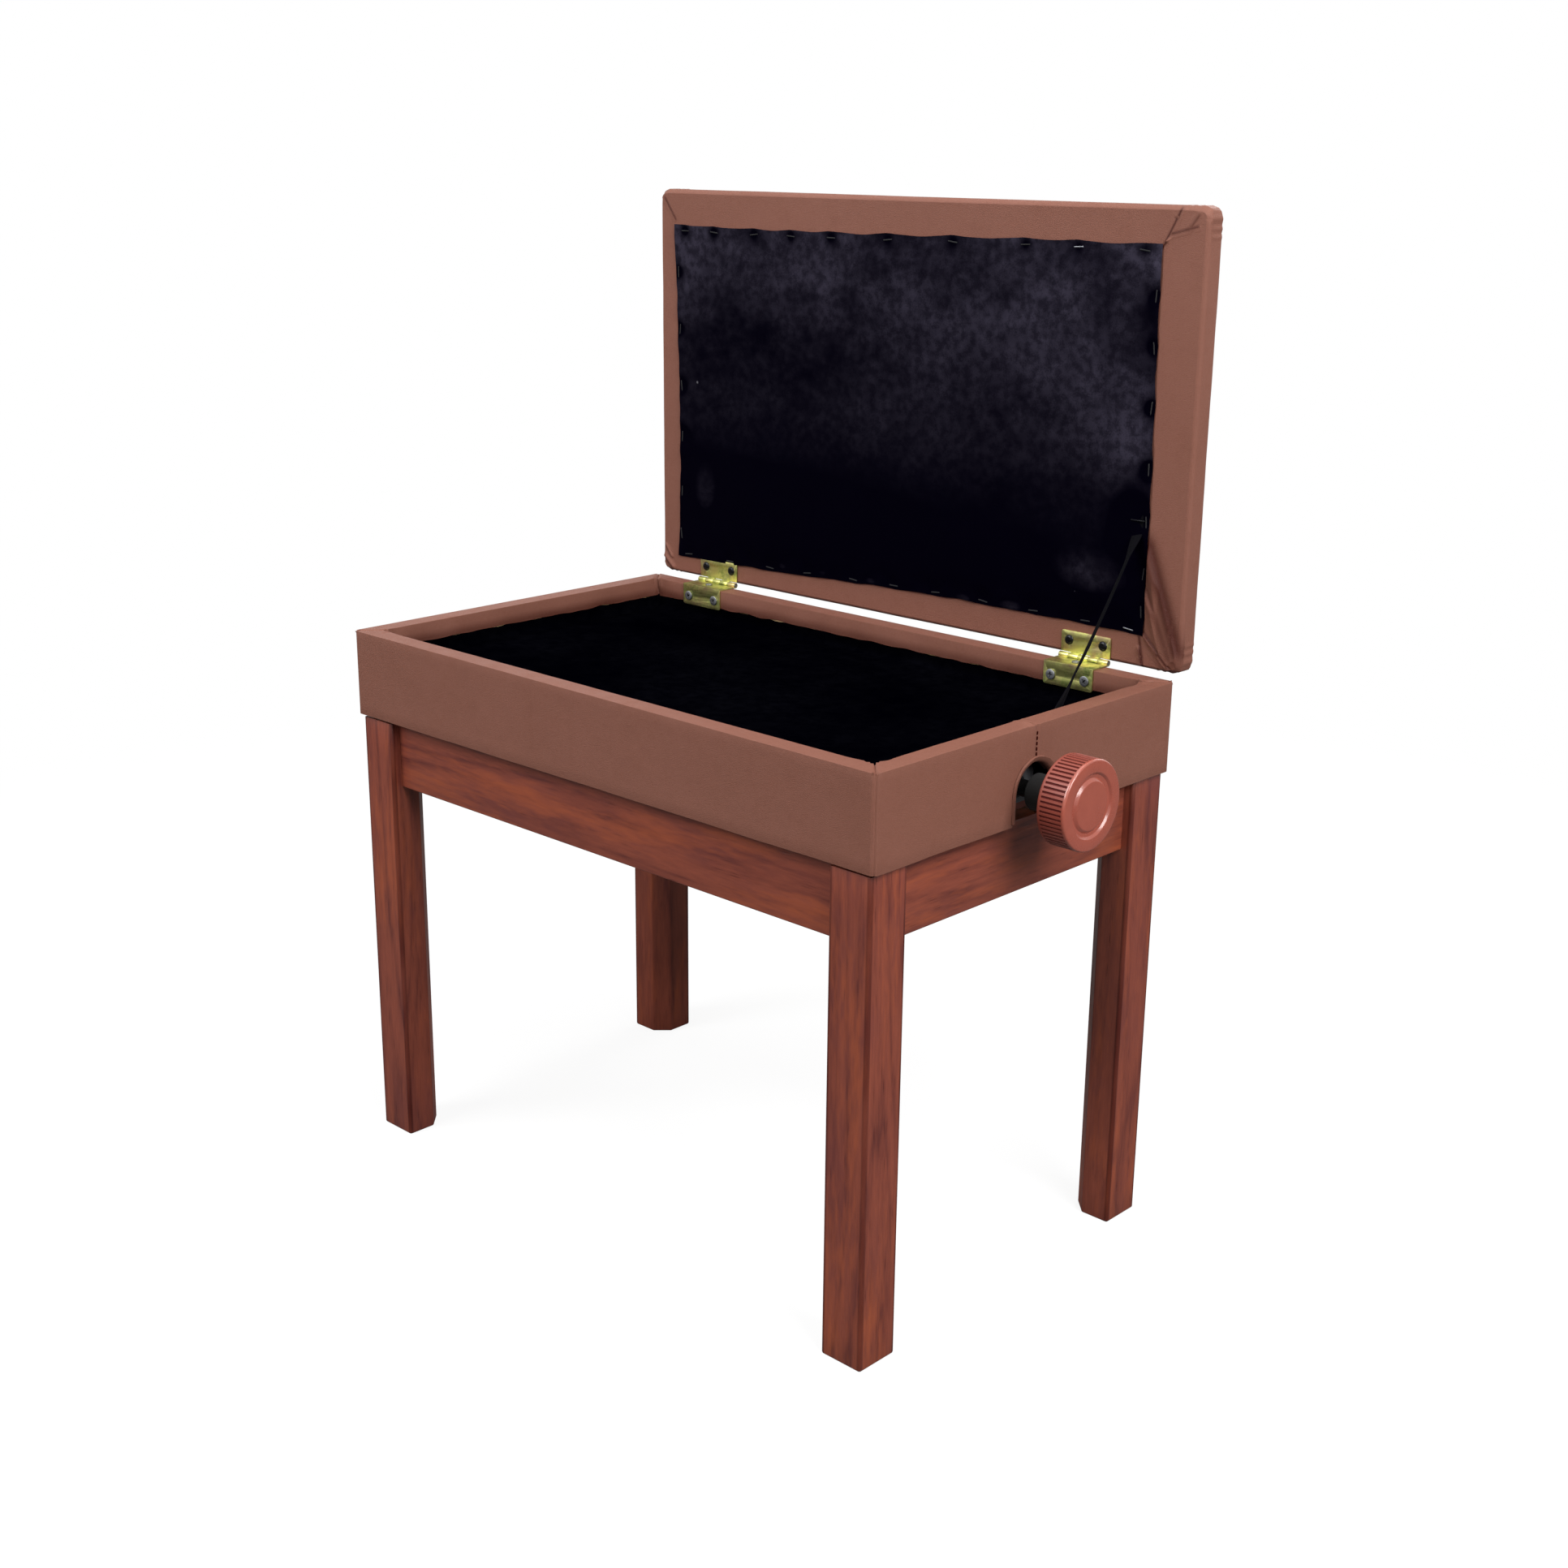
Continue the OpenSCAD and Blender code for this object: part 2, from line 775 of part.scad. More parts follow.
// Room for the other leaf's knuckles
module knuckle_room(first) {
    for (k = [first:2:knuckles - 1])
        translate([-leaf_w/2 + k*knuckle_l - knuckle_gap, hinge_y - barrel_d/2 - 0.3,
            hinge_z - barrel_d/2 - 0.3])
            cube([knuckle_l + 2*knuckle_gap, barrel_d + 0.6, barrel_d + 0.6]);
}

module pin_room() {
    translate([-leaf_w/2 - over, hinge_y, hinge_z]) rod_x(pin_d/2 + rod_play, leaf_w + 2*over);
}

// Cranked leaf on the rim: flat on top, then down the inner face
module rim_leaf() {
    difference() {
        union() {
            knuckle_row(0);
            difference() {
                translate([-leaf_w/2, leaf_front, rim_z])
                    cube([leaf_w, hinge_y - leaf_front, leaf_t]);
                knuckle_room(1);
            }
            translate([-leaf_w/2, leaf_front, rim_z + leaf_t - leaf_down])
                cube([leaf_w, leaf_t, leaf_down]);
        }
        pin_room();
        rim_leaf_shanks();
    }
}

// Screw shanks of one rim leaf, about the leaf's middle
module rim_leaf_shanks() {
    for (x = [-leaf_screws/2, leaf_screws/2])
        translate([x, leaf_front - over, rim_screw_z]) rod_y(shank_d/2, screw_bite + over);
    translate([0, top_screw_y, rim_z - screw_bite]) cylinder(r = shank_d/2, h = screw_bite + 4);
}

module rim_screw_shanks() {
    for (x = hinge_places) translate([x, 0, 0]) rim_leaf_shanks();
}

module hinge_rim_leaf_left() {
    place() color(zinc_yellow) translate([hinge_left, 0, 0]) rim_leaf();
}

module hinge_rim_leaf_right() {
    place() color(zinc_yellow) translate([hinge_right, 0, 0]) rim_leaf();
}

module hinge_pins() {
    place() color(steel)
        for (x = hinge_places)
            translate([x - leaf_w/2, hinge_y, hinge_z]) rod_x(pin_d/2, leaf_w);
}

module hinge_rim_screws() {
    place() color(steel)
        for (x = hinge_places) translate([x, 0, 0]) {
            for (dx = [-leaf_screws/2, leaf_screws/2])
                translate([dx, leaf_front - head_h, rim_screw_z]) {
                    rod_y(head_d/2, head_h);
                    rod_y(shank_d/2, head_h + screw_bite);
                }
            translate([0, top_screw_y, rim_z + leaf_t - screw_bite])
                cylinder(r = shank_d/2, h = screw_bite);
            translate([0, top_screw_y, rim_z + leaf_t]) cylinder(r = head_d/2 - 1, h = head_h);
        }
}

// Turn of the tape's section about Z, a quarter from the wall to the lid, easy at both ends
function tape_turn(f) = 90*f*f*(3 - 2*f);

// Middle of the tape's section between the knee and the lid's tab
function tape_middle(f) = (1 - f)*tape_knee + f*tape_tab_low;

// Corner of a level section of the tape about a middle, turned about Z
function tape_corner(middle, turn, i) =
    let (a = (i == 0 || i == 3 ? -1 : 1)*tape_t/2, b = (i < 2 ? -1 : 1)*tape_w/2)
    [middle.x + a*cos(turn) + b*sin(turn), middle.y - a*sin(turn) + b*cos(turn), middle.z];

// Tape from the right wall of the tray to the lid: flat on both, turned a quarter on its way
module stay_tape() {
    wall_x = tape_low_x - tape_t/2;
    stations = concat(
        [[[wall_x, tape_y, tape_bottom.z - tape_low/2], 0]],
        [[[wall_x, tape_y, tape_knee.z - 2*tape_t], 0]],
        [for (k = [0:tape_steps]) [tape_middle(k/tape_steps), tape_turn(k/tape_steps)]],
        [[tape_top - [0, tape_t/2, -tape_tab/3], 90]]);
    last = len(stations) - 1;
    points = [for (st = stations, i = [0:3]) tape_corner(st[0], st[1], i)];
    sides = [for (k = [0:last - 1], i = [0:3])
        let (j = (i + 1) % 4) each [[4*k + i, 4*k + 4 + i, 4*k + j], [4*k + j, 4*k + 4 + i, 4*k + 4 + j]]];
    ends = [[0, 1, 2], [0, 2, 3], [4*last + 2, 4*last + 1, 4*last], [4*last + 3, 4*last + 2, 4*last]];
    place() color(black_cloth) polyhedron(points, concat(sides, ends));
}

// Legs of the wire staple that holds the tape to the wall, at both edges of the tape
module box_staple_legs(depth) {
    for (side = [-1, 1])
        translate([tape_bottom.x - tape_t - staple_gap, tape_bottom.y + side*staple_half - staple_w/2,
            tape_bottom.z - staple_t/2])
            cube([tape_t + staple_gap + depth, staple_w, staple_t]);
}

module stay_tack_box() {
    place() color(steel) {
        box_staple_legs(staple_bite);
        translate([tape_bottom.x - tape_t - staple_gap - staple_t, tape_bottom.y - staple_half - staple_w/2,
            tape_bottom.z - staple_t/2])
            cube([staple_t, 2*staple_half + staple_w, staple_t]);
    }
}

module lid_staple_legs(depth) {
    for (side = [-1, 1])
        translate([tape_top.x + side*staple_half - staple_w/2, tape_top.y - tape_t - staple_gap,
            tape_top.z - staple_t/2])
            cube([staple_w, tape_t + staple_gap + depth, staple_t]);
}

module stay_tack_lid() {
    place() color(steel) {
        lid_staple_legs(staple_bite);
        translate([tape_top.x - staple_half - staple_w/2, tape_top.y - tape_t - staple_gap - staple_t,
            tape_top.z - staple_t/2])
            cube([2*staple_half + staple_w, staple_t, staple_t]);
    }
}

module lid_board() {
    r = corner_r(board_margin, lid_d);
    a = lid_w/2 - board_margin;
    b = lid_d/2 - board_margin;
    place() color(pale_wood)
        difference() {
            translate([0, under_y + border_t + lid_board_t, lid_z + lid_d/2]) rotate([90, 0, 0])
                linear_extrude(lid_board_t) {
                    square([2*a, 2*(b - r)], center = true);
                    square([2*(a - r), 2*b], center = true);
                    for (x = [r - a, a - r], y = [r - b, b - r]) translate([x, y]) circle(r);
                }
            lid_screw_shanks();
            lid_staple_legs(staple_bite);
        }
}

// Outline of the lid's side at an inset and a height: round corners, sides drawn in
corner_steps = 4;
side_steps = 6;

// Corner radius of a ring: it grows inwards, so the crown is a pillow and not a hipped roof
function corner_r(inset, b) = min(lid_corner_r + 0.7*inset, b/2 - 2);

function side_point(t, inset, a, b, turn) =
    let (r = corner_r(inset, b), span = a - 2*r,
        pull = draw_in*(1 - pow(2*t - 1, 2)))
    turn == 0 ? [-a/2 + r + span*t, -b/2 + pull] :
    turn == 1 ? [a/2 - pull, -b/2 + r + (b - 2*r)*t] :
    turn == 2 ? [a/2 - r - span*t, b/2 - pull] :
    [-a/2 + pull, b/2 - r - (b - 2*r)*t];

function outline(inset) =
    let (a = lid_w - 2*inset, b = lid_d - 2*inset, r = corner_r(inset, b),
        corners = [[a/2 - r, -b/2 + r], [a/2 - r, b/2 - r], [-a/2 + r, b/2 - r],
            [-a/2 + r, -b/2 + r]])
    [for (turn = [0:3])
        each concat(
            [for (k = [1:side_steps - 1]) side_point(k/side_steps, inset, a, b, turn)],
            [for (k = [0:corner_steps])
                let (q = -90 + 90*turn + 90*k/corner_steps)
                corners[turn] + r*[cos(q), sin(q)]])];

// Insets and heights of the lid's rings, from the underside to the crown
shoulder_steps = 5;
crown_steps = 4;
crown_span = lid_d/2 - shoulder_w - crown_flat;
lid_rings = concat(
    [[1, 0], [0, 2], [0, lid_side]],
    [for (k = [1:shoulder_steps])
        let (q = 90*k/shoulder_steps)
        [shoulder_w*(1 - cos(q)), lid_side + shoulder_h*sin(q)]],
    [for (k = [1:crown_steps])
        let (t = k/crown_steps)
        [shoulder_w + crown_span*t, lid_side + shoulder_h + crown_h*(1 - pow(1 - t, 2))]]);

// Closed loft through the rings, drawn upright on the lid's place
module lid_loft(rings) {
    count = len(outline(0));
    points = [for (ring = rings)
        each [for (p = outline(ring[0])) [p[0], under_y + ring[1], lid_z + lid_d/2 + p[1]]]];
    last = len(rings) - 1;
    walls = [for (k = [0:last - 1], j = [0:count - 1])
        let (a = k*count + j, b = k*count + (j + 1)%count, c = (k + 1)*count + (j + 1)%count,
            d = (k + 1)*count + j)
        each [[a, b, c], [a, c, d]]];
    bottom = [for (j = [0:count - 1]) count - 1 - j];
    top = [for (j = [0:count - 1]) last*count + j];
    polyhedron(points, concat([top], walls, [bottom]));
}

// Rings of the space inside the cover, one skin of a given thickness in, above a given height
function inner_rings(from, skin) = concat(
    [[skin, from]],
    [for (ring = lid_rings) if (ring[1] > from + 1)
        [ring[0] + skin, ring[1] - (ring[1] > lid_side + 1 ? skin : 0)]]);

module lid_foam() {
    place() color(foam_yellow) lid_loft(inner_rings(border_t + lid_board_t, skin_t + foam_gap));
}

// Cover drawn over the foam and turned round the board's underside as a border: one skin that runs
// from the inner crown down to the border's edge and back up outside
module lid_cover() {
    inner = inner_rings(border_t, skin_t);
    place() color(leatherette)
        difference() {
            lid_loft(concat([for (k = [len(inner) - 1:-1:0]) inner[k]],
                [[border_w, border_t], [border_w, 0]], lid_rings));
            lid_screw_shanks();
        }
}

module lid_lining() {
    place() color(black_cloth)
        difference() {
            translate([-lid_w/2 + lining_inset, under_y - lid_lining_t, lid_z + lining_inset])
                cube([lid_w - 2*lining_inset, lid_lining_t, lid_d - 2*lining_inset]);
            lid_staple_legs(staple_bite);
        }
}

// Flat leaf on the underside of the lid
module lid_leaf() {
    difference() {
        union() {
            knuckle_row(1);
            difference() {
                translate([-leaf_w/2, under_y - leaf_t, hinge_z])
                    cube([leaf_w, leaf_t, leaf_up]);
                knuckle_room(0);
            }
        }
        pin_room();
        lid_leaf_shanks();
    }
}

module lid_leaf_shanks() {
    for (x = [-leaf_screws/2, leaf_screws/2])
        translate([x, under_y - leaf_t, lid_screw_z]) rod_y(shank_d/2, leaf_t + screw_bite);
}

module lid_screw_shanks() {
    for (x = hinge_places) translate([x, 0, 0]) lid_leaf_shanks();
}

module hinge_lid_leaf_left() {
    place() color(zinc_yellow) translate([hinge_left, 0, 0]) lid_leaf();
}

module hinge_lid_leaf_right() {
    place() color(zinc_yellow) translate([hinge_right, 0, 0]) lid_leaf();
}

// Dome of a given base radius and height, rising along +Z
module dome(r, h) {
    big = (r*r + h*h)/(2*h);
    intersection() {
        translate([0, 0, h - big]) sphere(big);
        cylinder(r = r, h = h);
    }
}

module hinge_lid_screws() {
    place() color(dark_steel)
        for (x = hinge_places, dx = [-leaf_screws/2, leaf_screws/2])
            translate([x + dx, under_y - leaf_t, lid_screw_z]) {
                rotate([90, 0, 0]) dome(dome_d/2, dome_h);
                rod_y(shank_d/2, leaf_t + screw_bite);
            }
}

// Flat arm in the XZ plane along X from its pivot bore to its slotted end
module arm(y, slot_from) {
    difference() {
        union() {
            translate([0, y, -arm_w/2]) cube([arm_l, arm_t, arm_w]);
            translate([0, y, 0]) rod_y(arm_w/2, arm_t);
            translate([arm_l, y, 0]) rod_y(arm_w/2, arm_t);
        }
        translate([0, y - over, 0]) rod_y(rod_d/2 + rod_play, arm_t + 2*over);
        for (x = [arm_l - slot_from, arm_l])
            translate([x, y - over, 0]) rod_y(rod_d/2 + slot_play, arm_t + 2*over);
        translate([arm_l - slot_from, y - over, -rod_d/2 - slot_play])
            cube([slot_from, arm_t + 2*over, rod_d + 2*slot_play]);
    }
}

// Base arm in its rest place on the rear side
module base_arm() {
    translate([pivot_x, 0, low_z]) rotate([0, -angle_low, 0])
        difference() {
            arm(base_arm_y, sagitta);
            translate([arm_l/2, base_arm_y - over, 0]) rod_y(rivet_d/2, arm_t + 2*over);
        }
}

module box_arm() {
    translate([pivot_x, 0, up_z]) rotate([0, angle_low, 0])
        difference() {
            arm(box_arm_y, sagitta);
            translate([arm_l/2, box_arm_y - over, 0])
                rod_y(rivet_d/2 + rivet_play, arm_t + 2*over);
        }
}

module base_arm_front() {
    place() color(dark_steel) rear_or_front(true) base_arm();
}

module base_arm_rear() {
    place() color(dark_steel) rear_or_front(false) base_arm();
}

module box_arm_front() {
    place() color(dark_steel) rear_or_front(true) box_arm();
}

module box_arm_rear() {
    place() color(dark_steel) rear_or_front(false) box_arm();
}

// Rivets that hold each crossed pair together at its middle
module centre_rivets() {
    rivet_head_r = rivet_d/2 + rivet_play + 2;
    rivet_head_t = 2;
    mid = [pivot_x + arm_l/2*cos(angle_low), 0, low_z + arm_l/2*sin(angle_low)];
    place() color(steel)
        for (front = [false, true])
            rear_or_front(front) translate(mid) {
                translate([0, box_arm_y - 0.3 - rivet_head_t, 0])
                    rod_y(rivet_head_r, rivet_head_t);
                translate([0, box_arm_y - 0.3, 0])
                    rod_y(rivet_d/2, base_arm_y + arm_t - box_arm_y + 0.3);
            }
}

// Nut block that the two upper half shafts are screwed into
module travelling_nut() {
    place() color(brass)
        difference() {
            translate([shaft_x - nut_l/2, -nut_w/2, up_z - nut_h/2])
                cube([nut_l, nut_w, nut_h]);
            translate([shaft_x - nut_l/2 - over, 0, up_z]) rod_x(screw_r + rod_play, nut_l + 2*over);
        }
}

module upper_shafts() {
    place() color(steel)
        for (front = [false, true])
            rear_or_front(front) translate([shaft_x, nut_w/2, up_z])
                rod_y(rod_d/2, slide_y1 - nut_w/2);
}

module slide_block(z) {
    difference() {
        translate([shaft_x - slide_l/2, slide_y0, z - slide_h/2])
            cube([slide_l, slide_y1 - slide_y0, slide_h]);
        translate([shaft_x, slide_y0 - over, z])
            rod_y(rod_d/2, slide_y1 - slide_y0 + 2*over);
    }
}

module upper_slide_blocks() {
    place() color(nylon)
        for (front = [false, true]) rear_or_front(front) slide_block(up_z);
}

module lower_shaft() {
    place() color(steel) translate([shaft_x, -slide_y1, low_z]) rod_y(rod_d/2, 2*slide_y1);
}

module lower_slide_blocks() {
    place() color(nylon)
        for (front = [false, true]) rear_or_front(front) slide_block(low_z);
}

// Lead screw with its two thrust collars
module lead_screw() {
    place() color(steel) translate([0, 0, up_z]) {
        translate([screw_x0, 0, 0]) rod_x(screw_r, screw_x1 - screw_x0);
        translate([bracket_x + bracket_t + bush_flange + collar_gap, 0, 0])
            rod_x(collar_d/2, collar_l);
        translate([outer_bracket_x - bush_flange - collar_gap - collar_l, 0, 0])
            rod_x(collar_d/2, collar_l);
    }
}

// Knob turned about the screw: grip, boss and grooved face
module knob() {
    face_r = knob_r - knob_edge;
    groove_out = knob_r - face_ring;
    groove_in = groove_out - face_groove;
    place() color(knob_brown) translate([0, 0, up_z]) rotate([0, 90, 0])
        rotate_extrude()
            difference() {
                polygon([[screw_r, side_x + boss_gap], [boss_d/2, side_x + boss_gap],
                    [boss_d/2, knob_back], [knob_r - knob_taper - knob_edge, knob_back],
                    [knob_r - knob_taper, knob_back + knob_edge],
                    [knob_r, knob_front - knob_edge], [face_r, knob_front],
                    [0, knob_front], [0, screw_x1], [screw_r, screw_x1]]);
                polygon([[groove_in, knob_front + over], [groove_in, knob_front],
                    [groove_in + groove_depth, knob_front - groove_depth],
                    [groove_out - groove_depth, knob_front - groove_depth],
                    [groove_out, knob_front], [groove_out, knob_front + over]]);
            }
}

leg_front_left();
leg_front_right();
leg_rear_left();
leg_rear_right();
rail_front();
rail_rear();
rail_left();
rail_right();
corner_block_front_left();
corner_block_front_right();
corner_block_rear_left();
corner_block_rear_right();
leg_bolts();
leg_nuts();
lower_channel_front();
lower_channel_rear();
lower_channel_screws();
base_pivot_rod();
board_front();
board_rear();
board_left();
board_right();
rim_cover();
tray_floor();
tray_lining();
batten_front();
batten_rear();
upper_channel_front();
upper_channel_rear();
upper_channel_screws();
box_pivot_rod();
screw_bushes();
screw_brackets();
bracket_screws();
hinge_rim_leaf_left();
hinge_rim_leaf_right();
hinge_pins();
hinge_rim_screws();
stay_tape();
stay_tack_box();
lid_board();
lid_foam();
lid_cover();
lid_lining();
hinge_lid_leaf_left();
hinge_lid_leaf_right();
hinge_lid_screws();
stay_tack_lid();
base_arm_front();
base_arm_rear();
centre_rivets();
box_arm_front();
box_arm_rear();
travelling_nut();
upper_shafts();
upper_slide_blocks();
lower_shaft();
lower_slide_blocks();
lead_screw();
knob();
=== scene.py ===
"""Looks of a height-adjustable piano stool with a padded, hinged lid over a storage tray."""

import logging
import math
from collections.abc import Callable, Sequence
from dataclasses import dataclass
from enum import Enum
from typing import Any

import bmesh
import bpy
from mathutils import Matrix, Vector, noise


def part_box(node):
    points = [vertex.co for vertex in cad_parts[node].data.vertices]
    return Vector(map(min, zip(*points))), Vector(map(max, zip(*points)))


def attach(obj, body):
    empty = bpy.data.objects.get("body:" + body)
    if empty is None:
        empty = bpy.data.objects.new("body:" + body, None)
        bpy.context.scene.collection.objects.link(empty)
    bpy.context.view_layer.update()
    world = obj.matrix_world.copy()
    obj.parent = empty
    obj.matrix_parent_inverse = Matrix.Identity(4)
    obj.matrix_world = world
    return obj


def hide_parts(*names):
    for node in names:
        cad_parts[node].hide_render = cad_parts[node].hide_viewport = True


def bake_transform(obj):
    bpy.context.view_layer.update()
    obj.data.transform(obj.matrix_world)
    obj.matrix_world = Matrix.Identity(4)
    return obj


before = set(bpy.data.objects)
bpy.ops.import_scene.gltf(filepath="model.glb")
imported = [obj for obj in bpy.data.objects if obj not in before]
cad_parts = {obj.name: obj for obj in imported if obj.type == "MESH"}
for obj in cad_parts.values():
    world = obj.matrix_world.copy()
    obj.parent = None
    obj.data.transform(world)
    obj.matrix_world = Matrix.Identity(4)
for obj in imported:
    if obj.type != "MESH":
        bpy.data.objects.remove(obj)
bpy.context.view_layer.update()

logging.basicConfig(level=logging.INFO, format="%(relativeCreated)8d ms  %(message)s")
log = logging.getLogger("piano_stool")

Test = Callable[[Vector, Vector], bool]
Colour = tuple[float, float, float, float]

MM = 0.001
#: Places closer than this count as the same.
NEAR = 0.1 * MM
#: Least share of an edge or a normal along an axis that counts as parallel to it.
PARALLEL = 0.9
#: How much the shut lid's underside rises towards its hinges, per metre.
SHUT_TILT = 0.0122
#: Endings of the names of what stands at the four corners.
CORNERS = ("front_left", "front_right", "rear_left", "rear_right")
#: #: Nearly black, in linear values: painted shade in screw recesses and on the knob's unlit hub.
PAINTED_SHADE_BLACK: Colour = (0.002, 0.0015, 0.0015, 1.0)


class Axis(Enum):
    """The three directions of the stool: across, from front to rear, and up."""

    X = 0
    Y = 1
    Z = 2

    @property
    def way(self) -> Vector:
        """Unit vector along the axis."""
        return Vector([float(k == self.value) for k in range(3)])

    def scales(self, own: float, others: float = 1.0) -> list[float]:
        """Scale along each direction: one for the axis itself and one for the other two."""
        return [own if k == self.value else others for k in range(3)]


class Element(Enum):
    """What an edit-mode selection holds."""

    VERT = "VERT"
    EDGE = "EDGE"
    FACE = "FACE"


def paint(red: int, green: int, blue: int) -> Colour:
    """Turns a colour as a screen shows it into the linear values that a shader takes.

    Args:
        red: Red from 0 to 255.
        green: Green from 0 to 255.
        blue: Blue from 0 to 255.

    Returns:
        Linear red, green and blue, with an alpha of 1.
    """
    linear = [
        c / 12.92 if c <= 0.04045 else ((c + 0.055) / 1.055) ** 2.4
        for c in (red / 255, green / 255, blue / 255)
    ]
    return (linear[0], linear[1], linear[2], 1.0)


def ease(t: float) -> float:
    """Smooth step from 0 to 1."""
    t = min(max(t, 0.0), 1.0)
    return t * t * (3 - 2 * t)


def bump(d: float, width: float) -> float:
    """Bell of height 1 about 0, that has faded at about twice the width."""
    return math.exp(-((d / width) ** 2))


# Nodes of materials and groups


class Nodes:
    """Adds and links the nodes of one material or group."""

    def __init__(self, tree: bpy.types.NodeTree) -> None:
        """Works on a node tree."""
        self.tree = tree

    def add(self, kind: str, feed: dict[Any, Any] | None = None, **settings: Any) -> bpy.types.Node:
        """Adds a node.

        Args:
            kind: Type name of the node.
            feed: Values or sockets for its inputs, by name or number.
            **settings: Properties of the node.

        Returns:
            The new node.
        """
        node = self.tree.nodes.new(kind)
        for name, value in settings.items():
            setattr(node, name, value)
        self.fill(node, feed or {})
        return node

    def fill(self, node: bpy.types.Node, feed: dict[Any, Any]) -> None:
        """Feeds several inputs of a node, by name or number."""
        for key, value in feed.items():
            self.feed(node.inputs[key], value)

    def feed(self, socket: bpy.types.NodeSocket, value: Any) -> None:
        """Links a socket into another, or sets the other's value."""
        if isinstance(value, bpy.types.NodeSocket):
            self.tree.links.new(value, socket)
        else:
            socket.default_value = value

    def place(self, scale: Sequence[float] = (1, 1, 1)) -> bpy.types.NodeSocket:
        """Object coordinates, stretched by a scale along each axis."""
        where = self.add("ShaderNodeTexCoord").outputs["Object"]
        mapping = self.add("ShaderNodeMapping", {"Vector": where, "Scale": tuple(scale)})
        return mapping.outputs["Vector"]

    def attribute(self, name: str) -> bpy.types.NodeSocket:
        """The number that a piece carries under a name, or 0."""
        return self.add("ShaderNodeAttribute", attribute_name=name).outputs["Fac"]

    def noise(self, vector: Any, scale: float, detail: float = 2.0, rough: float = 0.5) -> Any:
        """Fractal noise from 0 to 1."""
        feed = {"Vector": vector, "Scale": scale, "Detail": detail, "Roughness": rough}
        return self.add("ShaderNodeTexNoise", feed).outputs[0]

    def cells(self, vector: Any, scale: float, feature: str = "F1") -> Any:
        """Distance in a pattern of cells."""
        node = self.add("ShaderNodeTexVoronoi", {"Vector": vector, "Scale": scale}, feature=feature)
        return node.outputs["Distance"]

    def math(self, operation: str, a: Any, b: Any = 0.0, c: Any = 0.0) -> Any:
        """One sum of two or three numbers."""
        return self.add("ShaderNodeMath", {0: a, 1: b, 2: c}, operation=operation).outputs[0]

    def total(self, *parts: tuple[Any, float]) -> Any:
        """Sum of several numbers, each times its share."""
        whole: Any = 0.0
        for value, share in parts:
            whole = self.math("ADD", whole, self.math("MULTIPLY", value, share))
        return whole

    def scale(self, value: Any, span: Sequence[float], to: Sequence[float] = (0, 1)) -> Any:
        """Value moved from one span to another, and held inside it."""
        feed = {"Value": value, "From Min": span[0], "From Max": span[1], "To Min": to[0], "To Max": to[1]}
        return self.add("ShaderNodeMapRange", feed).outputs[0]

    def blend(self, share: Any, a: Any, b: Any) -> Any:
        """Colour between two colours."""
        return self.add("ShaderNodeMix", {0: share, 6: a, 7: b}, data_type="RGBA").outputs[2]

    def wash(self, base: Any, colour: Any, tone: Any, start: float, most: float, end: float = 1.0) -> Any:
        """A base colour with another laid over it where a tone rises from a start to an end."""
        return self.blend(self.scale(tone, (start, end), (0, most)), base, colour)

    def raise_surface(self, shader: bpy.types.Node, height: Any, depth: float) -> None:
        """Feeds a height into the shader's normal.

        Args:
            shader: The Principled shader.
            height: Socket with the height, from 0 to 1.
            depth: What a height of 1 stands for, in metres.
        """
        node = self.add("ShaderNodeBump", {"Height": height, "Distance": depth, "Strength": 1.0})
        self.feed(shader.inputs["Normal"], node.outputs[0])


def group(name: str, inputs: dict[str, Any], outputs: dict[str, str]) -> tuple[Any, Nodes, Any, Any]:
    """Starts a node group that several materials share.

    Args:
        name: Name of the group.
        inputs: Default value of each input, by name; None stands for a vector.
        outputs: Kind of each output, by name: Float or Color.

    Returns:
        The group, its nodes, its input node and its output node.
    """
    tree = bpy.data.node_groups.new(name, "ShaderNodeTree")
    for label, default in inputs.items():
        kind = "Vector" if default is None else "Color" if isinstance(default, tuple) else "Float"
        socket = tree.interface.new_socket(label, in_out="INPUT", socket_type=f"NodeSocket{kind}")
        if default is not None:
            socket.default_value = default
    for label, kind in outputs.items():
        tree.interface.new_socket(label, in_out="OUTPUT", socket_type=f"NodeSocket{kind}")
    nodes = Nodes(tree)
    return tree, nodes, nodes.add("NodeGroupInput").outputs, nodes.add("NodeGroupOutput").inputs


def shared(name: str, build: Callable[[], bpy.types.NodeTree]) -> bpy.types.NodeTree:
    """The group of that name, built when it is first asked for."""
    return bpy.data.node_groups.get(name) or build()


def clouds_group() -> bpy.types.NodeTree:
    """Soft cloudy variation of tone, for every finish."""
    tree, nodes, given, out = group("clouds", {"Vector": None, "Size": 0.05}, {"Value": "Float"})
    scale = nodes.math("DIVIDE", 1.0, given["Size"])
    wide = nodes.noise(given["Vector"], scale, 3.0)
    close = nodes.noise(given["Vector"], nodes.math("MULTIPLY", scale, 6.0))
    nodes.feed(out["Value"], nodes.scale(nodes.total((wide, 0.7), (close, 0.3)), (0.32, 0.68)))
    return tree


